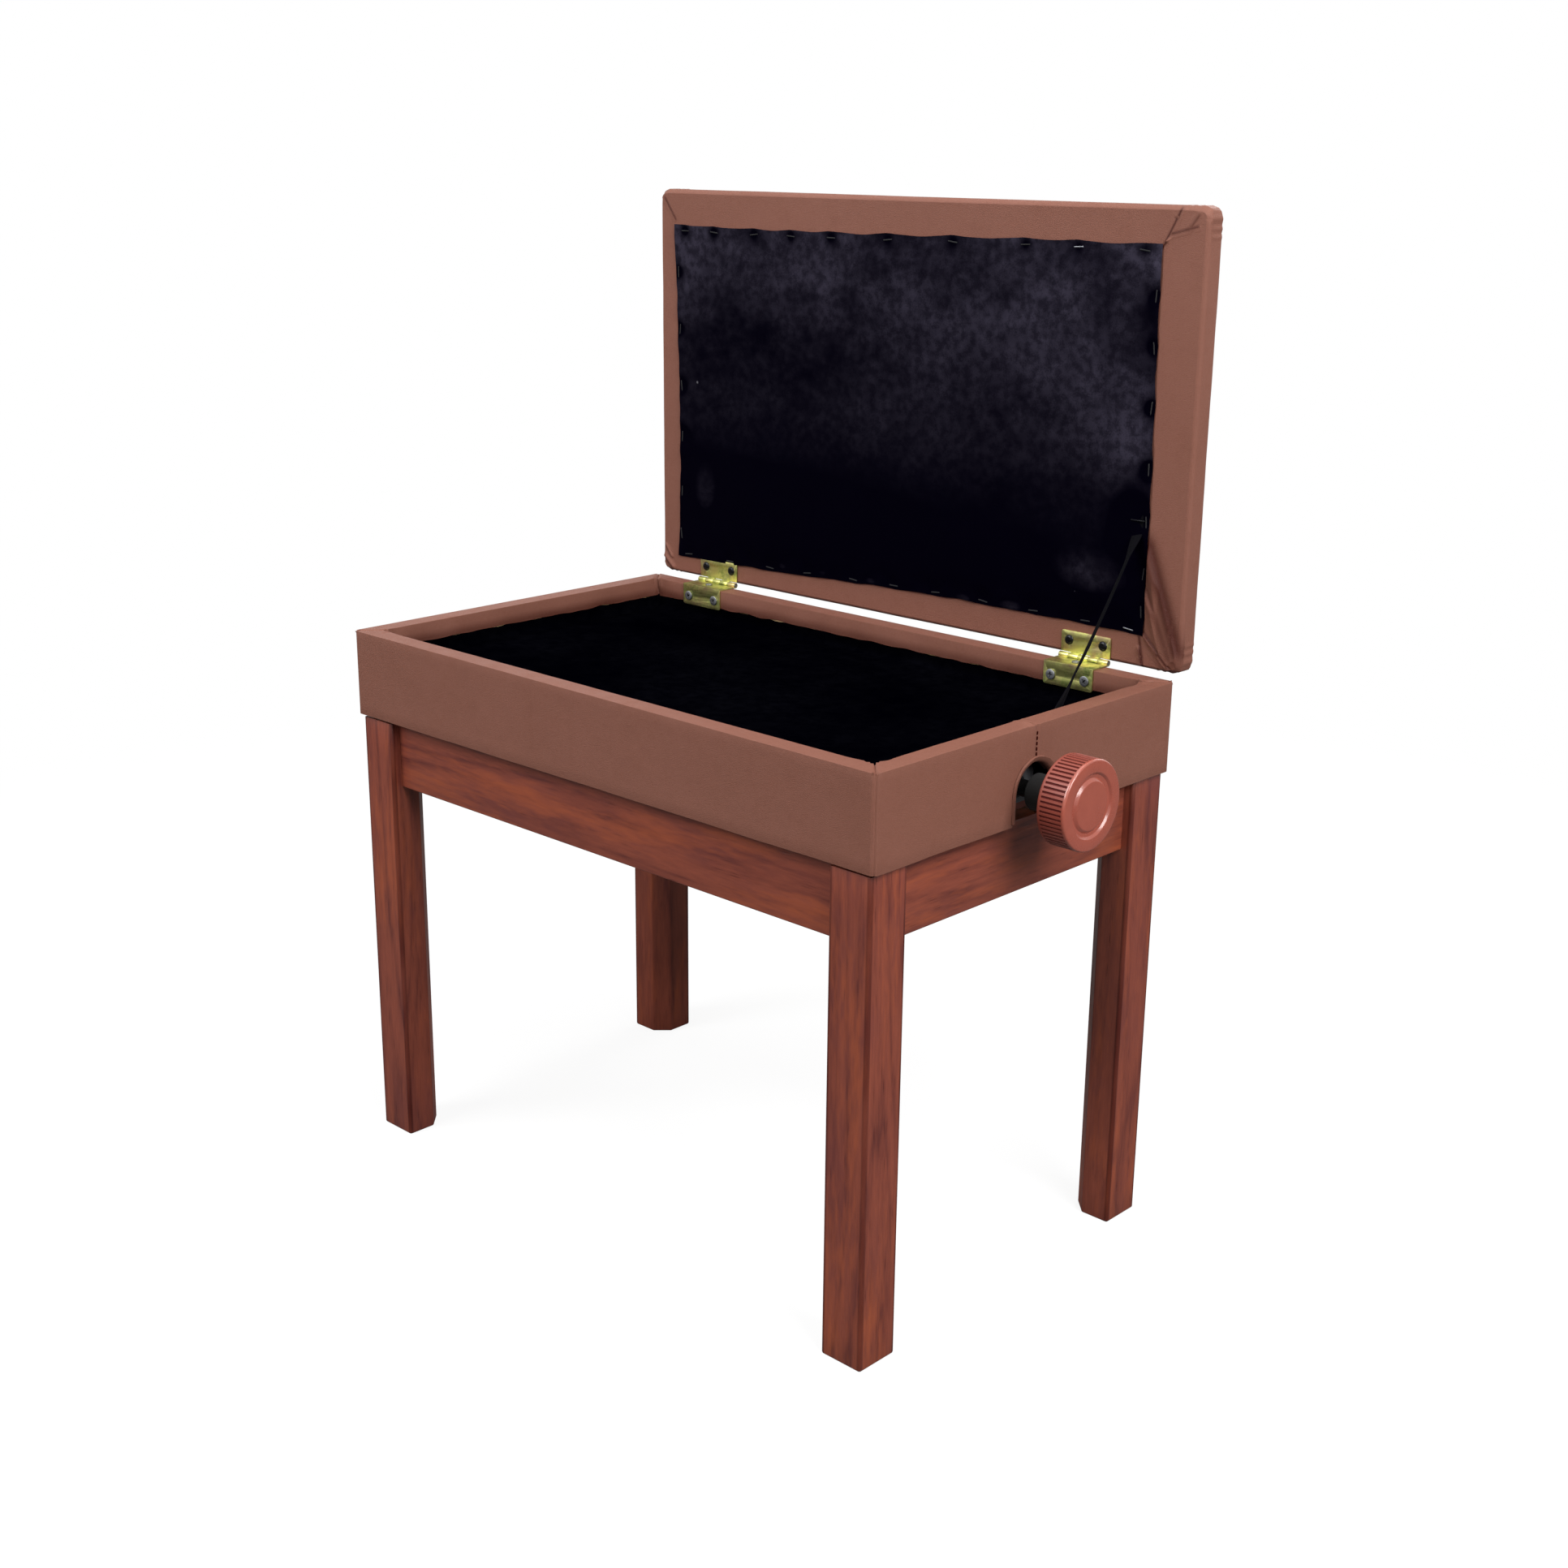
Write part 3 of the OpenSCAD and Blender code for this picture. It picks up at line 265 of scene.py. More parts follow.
def grain_group() -> bpy.types.NodeTree:
    """Wood grain that runs along the vector's long direction: figure, fibres and pores."""
    tree, nodes, given, out = group(
        "wood_grain",
        {"Vector": None, "Light": paint(140, 75, 55), "Dark": paint(80, 32, 22), "Pore": paint(45, 16, 12)},
        {"Color": "Color", "Height": "Float", "Gloss": "Float"},
    )
    vector = given["Vector"]
    sway = nodes.add("ShaderNodeTexNoise", {"Vector": vector, "Scale": 9.0, "Detail": 2.0}).outputs["Color"]
    bend = {0: sway, 1: (0.03, 0.03, 0.03), 2: vector}
    vector = nodes.add("ShaderNodeVectorMath", bend, operation="MULTIPLY_ADD").outputs[0]
    figure = nodes.noise(vector, 16.0)
    rings = nodes.math("PINGPONG", nodes.math("MULTIPLY", figure, 11.0), 0.5)
    bands = nodes.math("POWER", nodes.scale(rings, (0.0, 0.5), (1, 0)), 2.2)
    fibres = nodes.noise(vector, 520.0, 4.0, 0.7)
    streaks = nodes.noise(vector, 120.0, 3.0, 0.65)
    tone = nodes.total(
        (nodes.math("MULTIPLY", bands, nodes.scale(streaks, (0.3, 0.6), (0.2, 0.6))), 1.0),
        (nodes.scale(streaks, (0.42, 0.72)), 0.38),
        (nodes.scale(fibres, (0.38, 0.7)), 0.34),
    )
    body = nodes.blend(nodes.scale(tone, (0, 1)), given["Light"], given["Dark"])
    pores = nodes.scale(nodes.cells(vector, 420.0), (0.12, 0.3), (1, 0))
    share = nodes.math("MULTIPLY", pores, nodes.scale(streaks, (0.45, 0.65)))
    nodes.feed(out["Color"], nodes.blend(nodes.math("MULTIPLY", share, 0.55), body, given["Pore"]))
    nodes.feed(out["Height"], nodes.total((fibres, 0.4), (share, -1.0)))
    nodes.feed(out["Gloss"], nodes.total((share, 0.6), (fibres, 0.3)))
    return tree


def pebble_group() -> bpy.types.NodeTree:
    """Embossed pebble grain of leatherette."""
    tree, nodes, given, out = group("pebble", {"Vector": None, "Size": 0.0011}, {"Height": "Float"})
    scale = nodes.math("DIVIDE", 1.0, given["Size"])
    valley = nodes.scale(nodes.cells(given["Vector"], scale, "DISTANCE_TO_EDGE"), (0.0, 0.22))
    wide = nodes.noise(given["Vector"], nodes.math("MULTIPLY", scale, 0.35), 3.0)
    nodes.feed(out["Height"], nodes.total((valley, 0.6), (wide, 0.4)))
    return tree


def scratch_group() -> bpy.types.NodeTree:
    """Fine lines drawn along one axis, as brushing or plating leaves them."""
    tree, nodes, given, out = group("scratches", {"Vector": None, "Size": 0.0006}, {"Value": "Float"})
    scale = nodes.math("DIVIDE", 1.0, given["Size"])
    lines = nodes.noise(given["Vector"], scale, 4.0, 0.7)
    nodes.feed(out["Value"], nodes.scale(lines, (0.35, 0.65)))
    return tree


# Finishes


@dataclass(frozen=True)
class Finish:
    """A surface finish, whose material is made once and shared.

    Attributes:
        name: Name of the material.
    """

    name: str

    def material(self) -> bpy.types.Material:
        """The material of this finish."""
        made = bpy.data.materials.get(self.name)
        if made is None:
            made = bpy.data.materials.new(self.name)
            made.use_nodes = True
            self.dress(Nodes(made.node_tree), made.node_tree.nodes["Principled BSDF"])
        return made

    def dress(self, nodes: Nodes, shader: bpy.types.Node) -> None:
        """Sets the shader's own values and feeds it."""
        raise NotImplementedError


def use(nodes: Nodes, name: str, build: Callable[[], bpy.types.NodeTree], feed: dict[str, Any]) -> Any:
    """Places a shared group with what it is fed, and gives its outputs."""
    return nodes.add("ShaderNodeGroup", feed, node_tree=shared(name, build)).outputs


def clouds(nodes: Nodes, size: float, vector: Any = None) -> Any:
    """Places the clouds group with a size, and gives its value."""
    return use(nodes, "clouds", clouds_group, {"Vector": vector or nodes.place(), "Size": size})["Value"]


@dataclass(frozen=True)
class Wood(Finish):
    """Stained or bare wood with its grain along one axis, darker where its edge attribute says.

    Attributes:
        along: Axis that the grain follows.
        light: Colour between the bands.
        dark: Colour of the bands.
        pore: Colour of the pores and of worn edges.
        warm: Colour of the warmer patches.
        cool: Colour of the cooler patches.
        gloss: Roughness of the lacquer.
        coat: Weight of the lacquer.
    """

    along: Axis
    light: Colour
    dark: Colour
    pore: Colour
    warm: Colour
    cool: Colour
    gloss: float = 0.34
    coat: float = 0.08

    def dress(self, nodes: Nodes, shader: bpy.types.Node) -> None:
        """Feeds the grain into colour, roughness and relief."""
        feed = {"Light": self.light, "Dark": self.dark, "Pore": self.pore}
        feed["Vector"] = nodes.place(self.along.scales(0.1))
        grain = use(nodes, "wood_grain", grain_group, feed)
        tone = clouds(nodes, 0.05, nodes.place(self.along.scales(0.35)))
        other = clouds(nodes, 0.03, nodes.place(self.along.scales(0.22, 1.4)))
        shade = nodes.wash(grain["Color"], self.cool, tone, 0.45, 0.55)
        shade = nodes.wash(shade, self.warm, other, 0.5, 0.7)
        wear_and_shade = nodes.math("MULTIPLY", nodes.attribute("edge"), 0.8)
        nodes.fill(shader, {
            "Base Color": nodes.blend(wear_and_shade, shade, self.pore),
            "Roughness": nodes.math("MULTIPLY_ADD", grain["Gloss"], 0.2, self.gloss),
            "Specular IOR Level": 0.25,
            "Coat Weight": self.coat,
            "Coat Roughness": 0.2,
        })
        nodes.raise_surface(shader, grain["Height"], 0.1 * MM)


@dataclass(frozen=True)
class Leatherette(Finish):
    """Embossed leatherette with a soft sheen and slight clouds of tone.

    Attributes:
        body: Main colour.
        pale: Colour of the lighter clouds and stretched places.
        deep: Colour of the darker clouds.
        fold: Painted shade colour, laid where the fold attribute is high: in the lid's creases, low on the
            rim's lip and where the leatherette turns into the notch.
    """

    body: Colour
    pale: Colour
    deep: Colour
    # Painted shade for creases, the rim's lower lip and the notch's edge.
    fold: Colour = paint(62, 20, 8)

    def dress(self, nodes: Nodes, shader: bpy.types.Node) -> None:
        """Feeds clouds into the colour and the pebbles into the relief."""
        tone = clouds(nodes, 0.09)
        close = clouds(nodes, 0.012)
        base = nodes.wash(self.body, self.pale, tone, 0.2, 0.3, 0.9)
        base = nodes.wash(base, self.deep, close, 0.55, 0.12)
        height = use(nodes, "pebble", pebble_group, {"Vector": nodes.place(), "Size": 0.9 * MM})["Height"]
        base = nodes.blend(nodes.scale(height, (0.15, 0.5), (0.3, 0)), base, self.deep)
        # The fold attribute blends in the fold colour as painted shade.
        nodes.fill(shader, {
            "Base Color": nodes.blend(nodes.attribute("fold"), base, self.fold),
            "Roughness": nodes.scale(close, (0, 1), (0.46, 0.56)),
            "Specular IOR Level": 0.22,
        })
        nodes.raise_surface(shader, height, 0.16 * MM)


@dataclass(frozen=True)
class Cloth(Finish):
    """Thin non-woven cloth: matted fibres, with pale clouds, and a painted sheen that makes them grow towards
    one corner.

    Its attribute of painted light and shade makes a place lighter or darker.

    Attributes:
        dark: Colour in the folds.
        pale: Colour of the clouds.
        sheen: Weight of the sheen.
        rise: Painted sheen: how the clouds lighten across, back and up the stool, per metre, and by how much
            all over.
        fluff: Colour of the specks of dust.
        gloss: Strength of its reflection.
    """

    dark: Colour
    pale: Colour
    sheen: float = 0.0
    rise: tuple[float, float, float, float] = (0.0, 0.0, 0.0, 0.0)
    fluff: Colour = paint(120, 118, 124)
    gloss: float = 0.0

    def dress(self, nodes: Nodes, shader: bpy.types.Node) -> None:
        """Feeds clouds and fibres into the colour and the relief."""
        tone = clouds(nodes, 0.12, nodes.place((1.0, 1.0, 1.4)))
        near = clouds(nodes, 0.007)
        # Painted light: a gradient over the stool plus the attribute of painted light and shade set how
        # strongly the pale clouds and the lint show.
        where = nodes.add("ShaderNodeTexCoord").outputs["Object"]
        feed = {0: where, 1: self.rise[:3]}
        painted_light_slope = nodes.add("ShaderNodeVectorMath", feed, operation="DOT_PRODUCT").outputs["Value"]
        painted_light_slope = nodes.math("ADD", nodes.math("ADD", painted_light_slope, self.rise[3]), nodes.attribute("painted_light_and_shade"))
        fibres = nodes.noise(nodes.place((1, 1, 2.2)), 1400.0, 3.0, 0.75)
        mottled = nodes.scale(near, (0.25, 0.75), (0.42, 1.08))
        share = nodes.math("MULTIPLY", nodes.math("POWER", tone, 1.2), mottled)
        level = nodes.scale(nodes.math("ADD", painted_light_slope, 0.5), (0, 1))
        share = nodes.math("MULTIPLY", share, nodes.math("MULTIPLY", level, 1.3))
        base = nodes.wash(self.dark, self.pale, share, 0, 1)
        dust = nodes.scale(nodes.cells(nodes.place(), 11.0), (0.008, 0.016), (0.5, 0))
        base = nodes.blend(dust, base, self.fluff)
        lint = nodes.math("MULTIPLY", nodes.scale(fibres, (0.5, 0.75), (0, 0.25)), level)
        nodes.fill(shader, {
            "Base Color": nodes.blend(lint, base, self.pale),
            "Roughness": nodes.scale(near, (0, 1), (0.6, 0.75)),
            "Specular IOR Level": self.gloss,
            "Sheen Weight": self.sheen,
        })
        nodes.raise_surface(shader, fibres, 0.08 * MM)


@dataclass(frozen=True)
class Metal(Finish):
    """Metal with fine scratches along one axis and a film that shifts its tone.

    Where its edge attribute is 1, as in a screw's recess, it is painted black as the recess's shade.

    Attributes:
        body: Main colour.
        tint: Colour of the film's darker patches.
        second: Colour of the film's other patches.
        rough: Least roughness.
        along: Axis that the scratches follow.
        patch: Size of the patches in metres.
        metal: How metallic it is, less than 1 under paint or dust.
    """

    body: Colour
    tint: Colour
    second: Colour
    rough: float = 0.28
    along: Axis = Axis.X
    patch: float = 0.02
    metal: float = 1.0

    def dress(self, nodes: Nodes, shader: bpy.types.Node) -> None:
        """Feeds the film into the colour, and the scratches into roughness and relief."""
        tone = clouds(nodes, self.patch)
        other = clouds(nodes, self.patch * 1.7, nodes.place((1.3, 0.9, 1.1)))
        base = nodes.wash(self.body, self.tint, tone, 0.45, 0.9)
        base = nodes.wash(base, self.second, other, 0.5, 0.8)
        feed = {"Vector": nodes.place(self.along.scales(0.03))}
        lines = use(nodes, "scratches", scratch_group, feed)["Value"]
        rough = nodes.scale(tone, (0, 1), (self.rough, self.rough + 0.12))
        # The edge attribute paints the shade of screw recesses black.
        nodes.fill(shader, {
            "Base Color": nodes.blend(nodes.attribute("edge"), base, PAINTED_SHADE_BLACK),
            "Roughness": nodes.math("ADD", nodes.scale(lines, (0, 1), (0, 0.14)), rough),
            "Metallic": self.metal,
        })
        nodes.raise_surface(shader, lines, 0.01 * MM)


@dataclass(frozen=True)
class Plastic(Finish):
    """Moulded plastic with faint flow marks.

    Attributes:
        body: Main colour.
        deep: Colour of the flow marks.
        rough: Least roughness.
        coat: Weight of the polished skin.
        valley: Painted shade colour where the edge attribute is 1, as in the knob's rib valleys. Where it is
            2 the plastic is painted black as deep shade.
    """

    body: Colour
    deep: Colour
    rough: float = 0.3
    coat: float = 0.0
    valley: Colour = (0.0, 0.0, 0.0, 1.0)

    def dress(self, nodes: Nodes, shader: bpy.types.Node) -> None:
        """Feeds the flow marks into the colour and a fine texture into the relief."""
        tone = clouds(nodes, 0.018)
        fine = nodes.noise(nodes.place(), 900.0, 2.0)
        base = nodes.wash(self.body, self.deep, tone, 0, 0.6)
        # The edge attribute paints shade: toward the valley colour, then black where it reaches 2.
        edge = nodes.attribute("edge")
        base = nodes.blend(edge, base, self.valley)
        rough = nodes.scale(tone, (0, 1), (self.rough, self.rough + 0.1))
        nodes.fill(shader, {
            "Base Color": nodes.blend(nodes.scale(edge, (1, 2)), base, PAINTED_SHADE_BLACK),
            "Roughness": nodes.math("ADD", rough, nodes.scale(edge, (0, 1), (0, 0.6))),
            "Coat Weight": nodes.scale(edge, (0, 0.5), (self.coat, 0)),
            "Coat Roughness": 0.12,
        })
        nodes.raise_surface(shader, fine, 0.02 * MM)


#: Colours of the stained frame.
MAHOGANY = {
    "light": paint(136, 70, 53),
    "dark": paint(93, 44, 38),
    "pore": paint(60, 12, 6),
    "warm": paint(158, 80, 50),
    "cool": paint(98, 50, 50),
}
#: Colours of bare wood and plywood.
BEECH = {
    "light": paint(206, 172, 128),
    "dark": paint(172, 132, 88),
    "pore": paint(120, 86, 54),
    "warm": paint(214, 176, 124),
    "cool": paint(182, 148, 110),
}
BROWN = Leatherette("leatherette_brown", paint(124, 80, 66), paint(132, 88, 75), paint(100, 58, 45))
# Its rise paints a sheen that brightens the lid's lining towards its top and right.
LID_CLOTH = Cloth("black_non_woven", paint(1, 0, 7), paint(60, 56, 70), rise=(0.3, 0, 3.8, -2.5), gloss=0.01)
TRAY_CLOTH = Cloth("black_tray_cloth", paint(0, 0, 2), paint(7, 7, 11))
BLACK_TAPE = Cloth("black_tape", paint(3, 3, 5), paint(15, 14, 19), 0.01, gloss=0.02)
ZINC = Metal(
    "yellow_zinc", paint(200, 198, 124), paint(108, 128, 66), paint(168, 138, 112), 0.26, patch=0.012
)
STEEL = Metal("bright_steel", paint(136, 138, 144), paint(100, 102, 108), paint(122, 122, 124), 0.34)
STEEL_Y = Metal("bright_rod", paint(160, 162, 168), paint(122, 124, 130), paint(140, 140, 142), 0.26, Axis.Y)
OILED = Metal("oiled_steel", paint(50, 48, 48), paint(34, 32, 32), paint(58, 54, 50), 0.42)
BLACK_STEEL = Metal(
    "black_steel", paint(44, 44, 48), paint(32, 32, 35), paint(54, 54, 56), 0.36, Axis.Y, 0.03, 0.75
)
BLACK_SCREW = Metal(
    "black_screw", paint(20, 20, 23), paint(12, 12, 14), paint(28, 28, 32), 0.16, patch=0.004, metal=0.7
)
DARK_WIRE = Plastic("dark_wire", paint(5, 5, 8), paint(2, 2, 3), 0.85)
BRASS = Metal("nut_brass", paint(196, 164, 92), paint(160, 126, 66), paint(180, 150, 90), 0.3)
NYLON = Plastic("white_nylon", paint(222, 220, 208), paint(204, 200, 184), 0.4)
BLACK_NYLON = Plastic("black_nylon", paint(14, 13, 14), paint(8, 8, 9), 0.5)
# Its valley colour is painted shade on the knob's ribbed side.
KNOB = Plastic("knob_plastic", paint(156, 79, 63), paint(140, 68, 54), 0.2, 0.3, paint(82, 7, 0))
THREAD = Cloth("seam_thread", paint(44, 8, 6), paint(70, 24, 18))


def wood(name: str, along: Axis, stain: dict[str, Colour], gloss: float = 0.34, coat: float = 0.08) -> Wood:
    """A wood finish in a stain, with its grain along an axis."""
    return Wood(f"{name}_{along.name.lower()}", along, gloss=gloss, coat=coat, **stain)


def bare_wood(name: str, along: Axis) -> Wood:
    """Plain wood or plywood without a stain or a lacquer."""
    return wood(name, along, BEECH, 0.5, 0.0)


# Modelling


def linked(name: str, data: Any) -> bpy.types.Object:
    """A new object of the scene for a mesh, a camera or a lamp."""
    obj = bpy.data.objects.new(name, data)
    bpy.context.scene.collection.objects.link(obj)
    return obj


class Blank:
    """A piece on the bench: a primitive that edit-mode operators and modifiers shape."""

    def __init__(self, obj: bpy.types.Object) -> None:
        """Takes an object to the bench."""
        self.obj = obj

    @staticmethod
    def clear() -> None:
        """Leaves edit mode and deselects everything."""
        if bpy.context.object and bpy.context.object.mode == "EDIT":
            bpy.ops.object.mode_set(mode="OBJECT")
        bpy.ops.object.select_all(action="DESELECT")

    @classmethod
    def fresh(cls, name: str) -> "Blank":
        """Takes the primitive that was just added, names it and applies its place."""
        obj = bpy.context.object
        obj.name = obj.data.name = name
        bpy.ops.object.transform_apply(location=True, rotation=True, scale=True)
        return cls(obj)

    @classmethod
    def block(cls, name: str, low: Vector, high: Vector) -> "Blank":
        """A block between two corners."""
        cls.clear()
        low, high = Vector(low), Vector(high)
        bpy.ops.mesh.primitive_cube_add(size=1, location=(low + high) / 2, scale=high - low)
        return cls.fresh(name)

    @classmethod
    def rod(
        cls, name: str, start: Vector, end: Vector, radius: float, sides: int = 48, caps: str = "NGON"
    ) -> "Blank":
        """A round rod between two points."""
        cls.clear()
        start, end = Vector(start), Vector(end)
        way = end - start
        turn = way.to_track_quat("Z", "Y").to_euler()
        bpy.ops.mesh.primitive_cylinder_add(
            vertices=sides, radius=radius, depth=way.length, end_fill_type=caps,
            location=(start + end) / 2, rotation=turn,
        )
        return cls.fresh(name)

    @classmethod
    def grid(cls, name: str, low: Vector, high: Vector, steps: tuple[int, int]) -> "Blank":
        """A flat sheet between two corners that share one coordinate, cut into squares."""
        cls.clear()
        low, high = Vector(low), Vector(high)
        span = high - low
        turn = (math.pi / 2, 0, 0) if abs(span.y) < abs(span.z) else (0, 0, 0)
        size = (span.x, span.z if turn[0] else span.y, 1)
        bpy.ops.mesh.primitive_grid_add(
            x_subdivisions=steps[0], y_subdivisions=steps[1], size=1, location=(low + high) / 2, rotation=turn
        )
        bpy.context.object.scale = size
        return cls.fresh(name)

    @classmethod
    def copy_of(cls, name: str, node: str) -> "Blank":
        """A merged copy of a CAD node, with its flat faces whole again."""
        cls.clear()
        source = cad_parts[node]
        blank = cls(linked(name, source.data.copy()))
        blank.obj.data.name = name
        blank.open_whole()
        bpy.ops.mesh.remove_doubles(threshold=0.002 * MM)
        bpy.ops.mesh.dissolve_limited(angle_limit=math.radians(0.5))
        blank.rest()
        return blank

    def edit(self, kind: Element) -> None:
        """Opens the piece in edit mode with nothing selected."""
        if bpy.context.object is not self.obj or self.obj.mode != "EDIT":
            self.clear()
            self.obj.select_set(True)
            bpy.context.view_layer.objects.active = self.obj
            bpy.ops.object.mode_set(mode="EDIT")
        bpy.ops.mesh.select_mode(type=kind.value)
        bpy.ops.mesh.select_all(action="DESELECT")

    def open_whole(self) -> None:
        """Opens the piece in edit mode with all of it selected."""
        self.edit(Element.FACE)
        bpy.ops.mesh.select_all(action="SELECT")

    def rest(self) -> None:
        """Closes edit mode and leaves the piece selected and active."""
        self.clear()
        self.obj.select_set(True)
        bpy.context.view_layer.objects.active = self.obj

    def pick(self, kind: Element, test: Test) -> int:
        """Selects what passes a test.

        Args:
            kind: Vertices, edges or faces.
            test: Takes the middle and the normal, or an edge's direction.

        Returns:
            How many were selected.
        """
        self.edit(kind)
        mesh = bmesh.from_edit_mesh(self.obj.data)
        if kind is Element.FACE:
            chosen = [f for f in mesh.faces if test(f.calc_center_median(), f.normal)]
        elif kind is Element.EDGE:
            ends = ((e, e.verts[0].co, e.verts[1].co) for e in mesh.edges)
            chosen = [e for e, a, b in ends if test((a + b) / 2, (b - a).normalized())]
        else:
            chosen = [v for v in mesh.verts if test(v.co, v.normal)]
        for item in chosen:
            item.select_set(True)
        mesh.select_flush_mode()
        bmesh.update_edit_mesh(self.obj.data)
        return len(chosen)

    def inset(self, thickness: float, depth: float = 0.0) -> None:
        """Insets the selected faces."""
        bpy.ops.mesh.inset(thickness=thickness, depth=depth, use_even_offset=True)

    def extrude(self, move: Sequence[float]) -> None:
        """Extrudes the selection by a move."""
        bpy.ops.mesh.extrude_region_move(TRANSFORM_OT_translate={"value": tuple(move)})

    def bevel(self, offset: float, segments: int) -> None:
        """Rounds the selected edges."""
        bpy.ops.mesh.bevel(offset=offset, segments=segments, clamp_overlap=True)

    def ease_edges(self, test: Test, offset: float, segments: int) -> None:
        """Rounds the edges that pass a test."""
        self.pick(Element.EDGE, test)
        self.bevel(offset, segments)

    def delete(self, kind: Element) -> None:
        """Deletes what is selected."""
        bpy.ops.mesh.delete(type=kind.value)

    def split(self, test: Test) -> None:
        """Cuts each face that passes a test into four."""
        self.pick(Element.FACE, test)
        bpy.ops.mesh.subdivide(number_cuts=1)

    def bisect(self, point: Sequence[float], normal: Sequence[float], clear: str = "") -> None:
        """Cuts the whole piece by a plane, and clears its inner or outer side if asked."""
        self.open_whole()
        cleared = {f"clear_{clear}": True} if clear else {}
        bpy.ops.mesh.bisect(plane_co=tuple(point), plane_no=tuple(normal), **cleared)

    def score(self, test: Test, point: Sequence[float], normal: Sequence[float]) -> None:
        """Cuts only the faces that pass a test by a plane, for a crease."""
        if self.pick(Element.FACE, test):
            bpy.ops.mesh.bisect(plane_co=tuple(point), plane_no=tuple(normal))

    def slice(self, axis: Axis, low: float, high: float, step: float) -> None:
        """Cuts the piece by evenly spaced planes between two places on an axis."""
        count = max(1, round((high - low) / step))
        for k in range(1, count):
            self.bisect(axis.way * (low + (high - low) * k / count), axis.way)

    def shape(self, move: Callable[[Vector], Vector]) -> None:
        """Moves each vertex by what a function gives for its place."""
        self.rest()
        for vertex in self.obj.data.vertices:
            vertex.co = vertex.co + move(vertex.co.copy())
        self.obj.data.update()

    def mark(self, name: str, value: Callable[[Vector], float]) -> None:
        """Writes a number on each vertex, for its finish to read.

        Args:
            name: Name of the attribute.
            value: Gives the number for a vertex's place.
        """
        self.rest()
        data = self.obj.data.attributes.new(name, "FLOAT", "POINT").data
        for vertex, item in zip(self.obj.data.vertices, data):
            item.value = value(vertex.co)

    def modify(self, kind: str, **settings: Any) -> None:
        """Adds a modifier with its settings and applies it."""
        self.rest()
        modifier = self.obj.modifiers.new(kind.lower(), kind)
        for name, value in settings.items():
            setattr(modifier, name, value)
        bpy.ops.object.modifier_apply(modifier=modifier.name)

    def soften(self, width: float, segments: int = 2, angle: float = 32.0) -> None:
        """Rounds every edge sharper than an angle."""
        self.modify(
            "BEVEL", width=width, segments=segments, limit_method="ANGLE", angle_limit=math.radians(angle)
        )

    def cut(self, tool: "Blank") -> None:
        """Cuts another piece's shape out of this one, and throws the other away."""
        self.modify("BOOLEAN", object=tool.obj, operation="DIFFERENCE", solver="EXACT")
        bpy.data.objects.remove(tool.obj)

    def join(self, *others: "Blank") -> "Blank":
        """Joins other pieces into this one."""
        self.rest()
        for other in others:
            other.obj.select_set(True)
        bpy.ops.object.join()
        return self

    def repeat(self, moves: Sequence[Matrix]) -> "Blank":
        """Copies the piece to other places and joins all.

        Args:
            moves: Where each copy goes, from the piece as it stands.

        Returns:
            The joined piece, without the first one.
        """
        copies = []
        for move in moves:
            mesh = self.obj.data.copy()
            mesh.transform(move)
            copies.append(Blank(linked(self.obj.name, mesh)))
        name = self.obj.name
        bpy.data.objects.remove(self.obj)
        joined = copies[0].join(*copies[1:])
        joined.obj.name = joined.obj.data.name = name
        return joined

    def outward(self) -> None:
        """Merges doubles and turns every face outwards."""
        self.open_whole()
        bpy.ops.mesh.remove_doubles(threshold=0.01 * MM)
        bpy.ops.mesh.normals_make_consistent(inside=False)
        self.rest()

    def inward(self) -> None:
        """Turns every face inwards."""
        self.open_whole()
        bpy.ops.mesh.normals_make_consistent(inside=True)
        self.rest()

    def smooth(self, angle: float = 38.0) -> None:
        """Shades the piece smooth, but for edges sharper than an angle."""
        self.rest()
        bpy.ops.object.shade_smooth_by_angle(angle=math.radians(angle))

    def hand_over(self, body: str, slot: str, finish: Finish, *nodes: str) -> bpy.types.Object:
        """Finishes the piece: material, body and the CAD nodes that it stands for.

        Args:
            body: Body that it moves with, or nothing for a piece that two bodies share.
            slot: Material slot; not used.
            finish: Its finish.
            *nodes: CAD nodes that it replaces.

        Returns:
            The finished object.
        """
        self.clear()
        self.obj.data.materials.clear()
        self.obj.data.materials.append(finish.material())
        if body:
            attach(self.obj, body)
        if nodes:
            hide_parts(*nodes)
        log.info("%s: %d faces on %s", self.obj.name, len(self.obj.data.polygons), body)
        return self.obj


def solids_of(node: str) -> list[tuple[Vector, Vector]]:
    """Finds the separate solids of a CAD node.

    Args:
        node: The CAD node.

    Returns:
        The low and the high corner of each solid's box, from left to right.
    """
    whole = Blank.copy_of("solids", node)
    whole.open_whole()
    bpy.ops.mesh.separate(type="LOOSE")
    bpy.ops.object.mode_set(mode="OBJECT")
    boxes = []
    for obj in list(bpy.context.selected_objects):
        corners = [vertex.co for vertex in obj.data.vertices]
        low = Vector([min(c[k] for c in corners) for k in range(3)])
        high = Vector([max(c[k] for c in corners) for k in range(3)])
        boxes.append((low, high))
        bpy.data.objects.remove(obj)
    return sorted(boxes, key=lambda box: (box[0].x, box[0].z))


def facing(axis: Axis, sign: int) -> Test:
    """Test for faces that look along an axis."""
    return lambda middle, normal: normal[axis.value] * sign > PARALLEL


def runs(axis: Axis, test: Callable[[Vector], bool] = lambda at: True) -> Test:
    """Test for edges that run along an axis and whose place passes a test."""
    return lambda at, way: abs(way[axis.value]) > PARALLEL and test(at)


# Studio


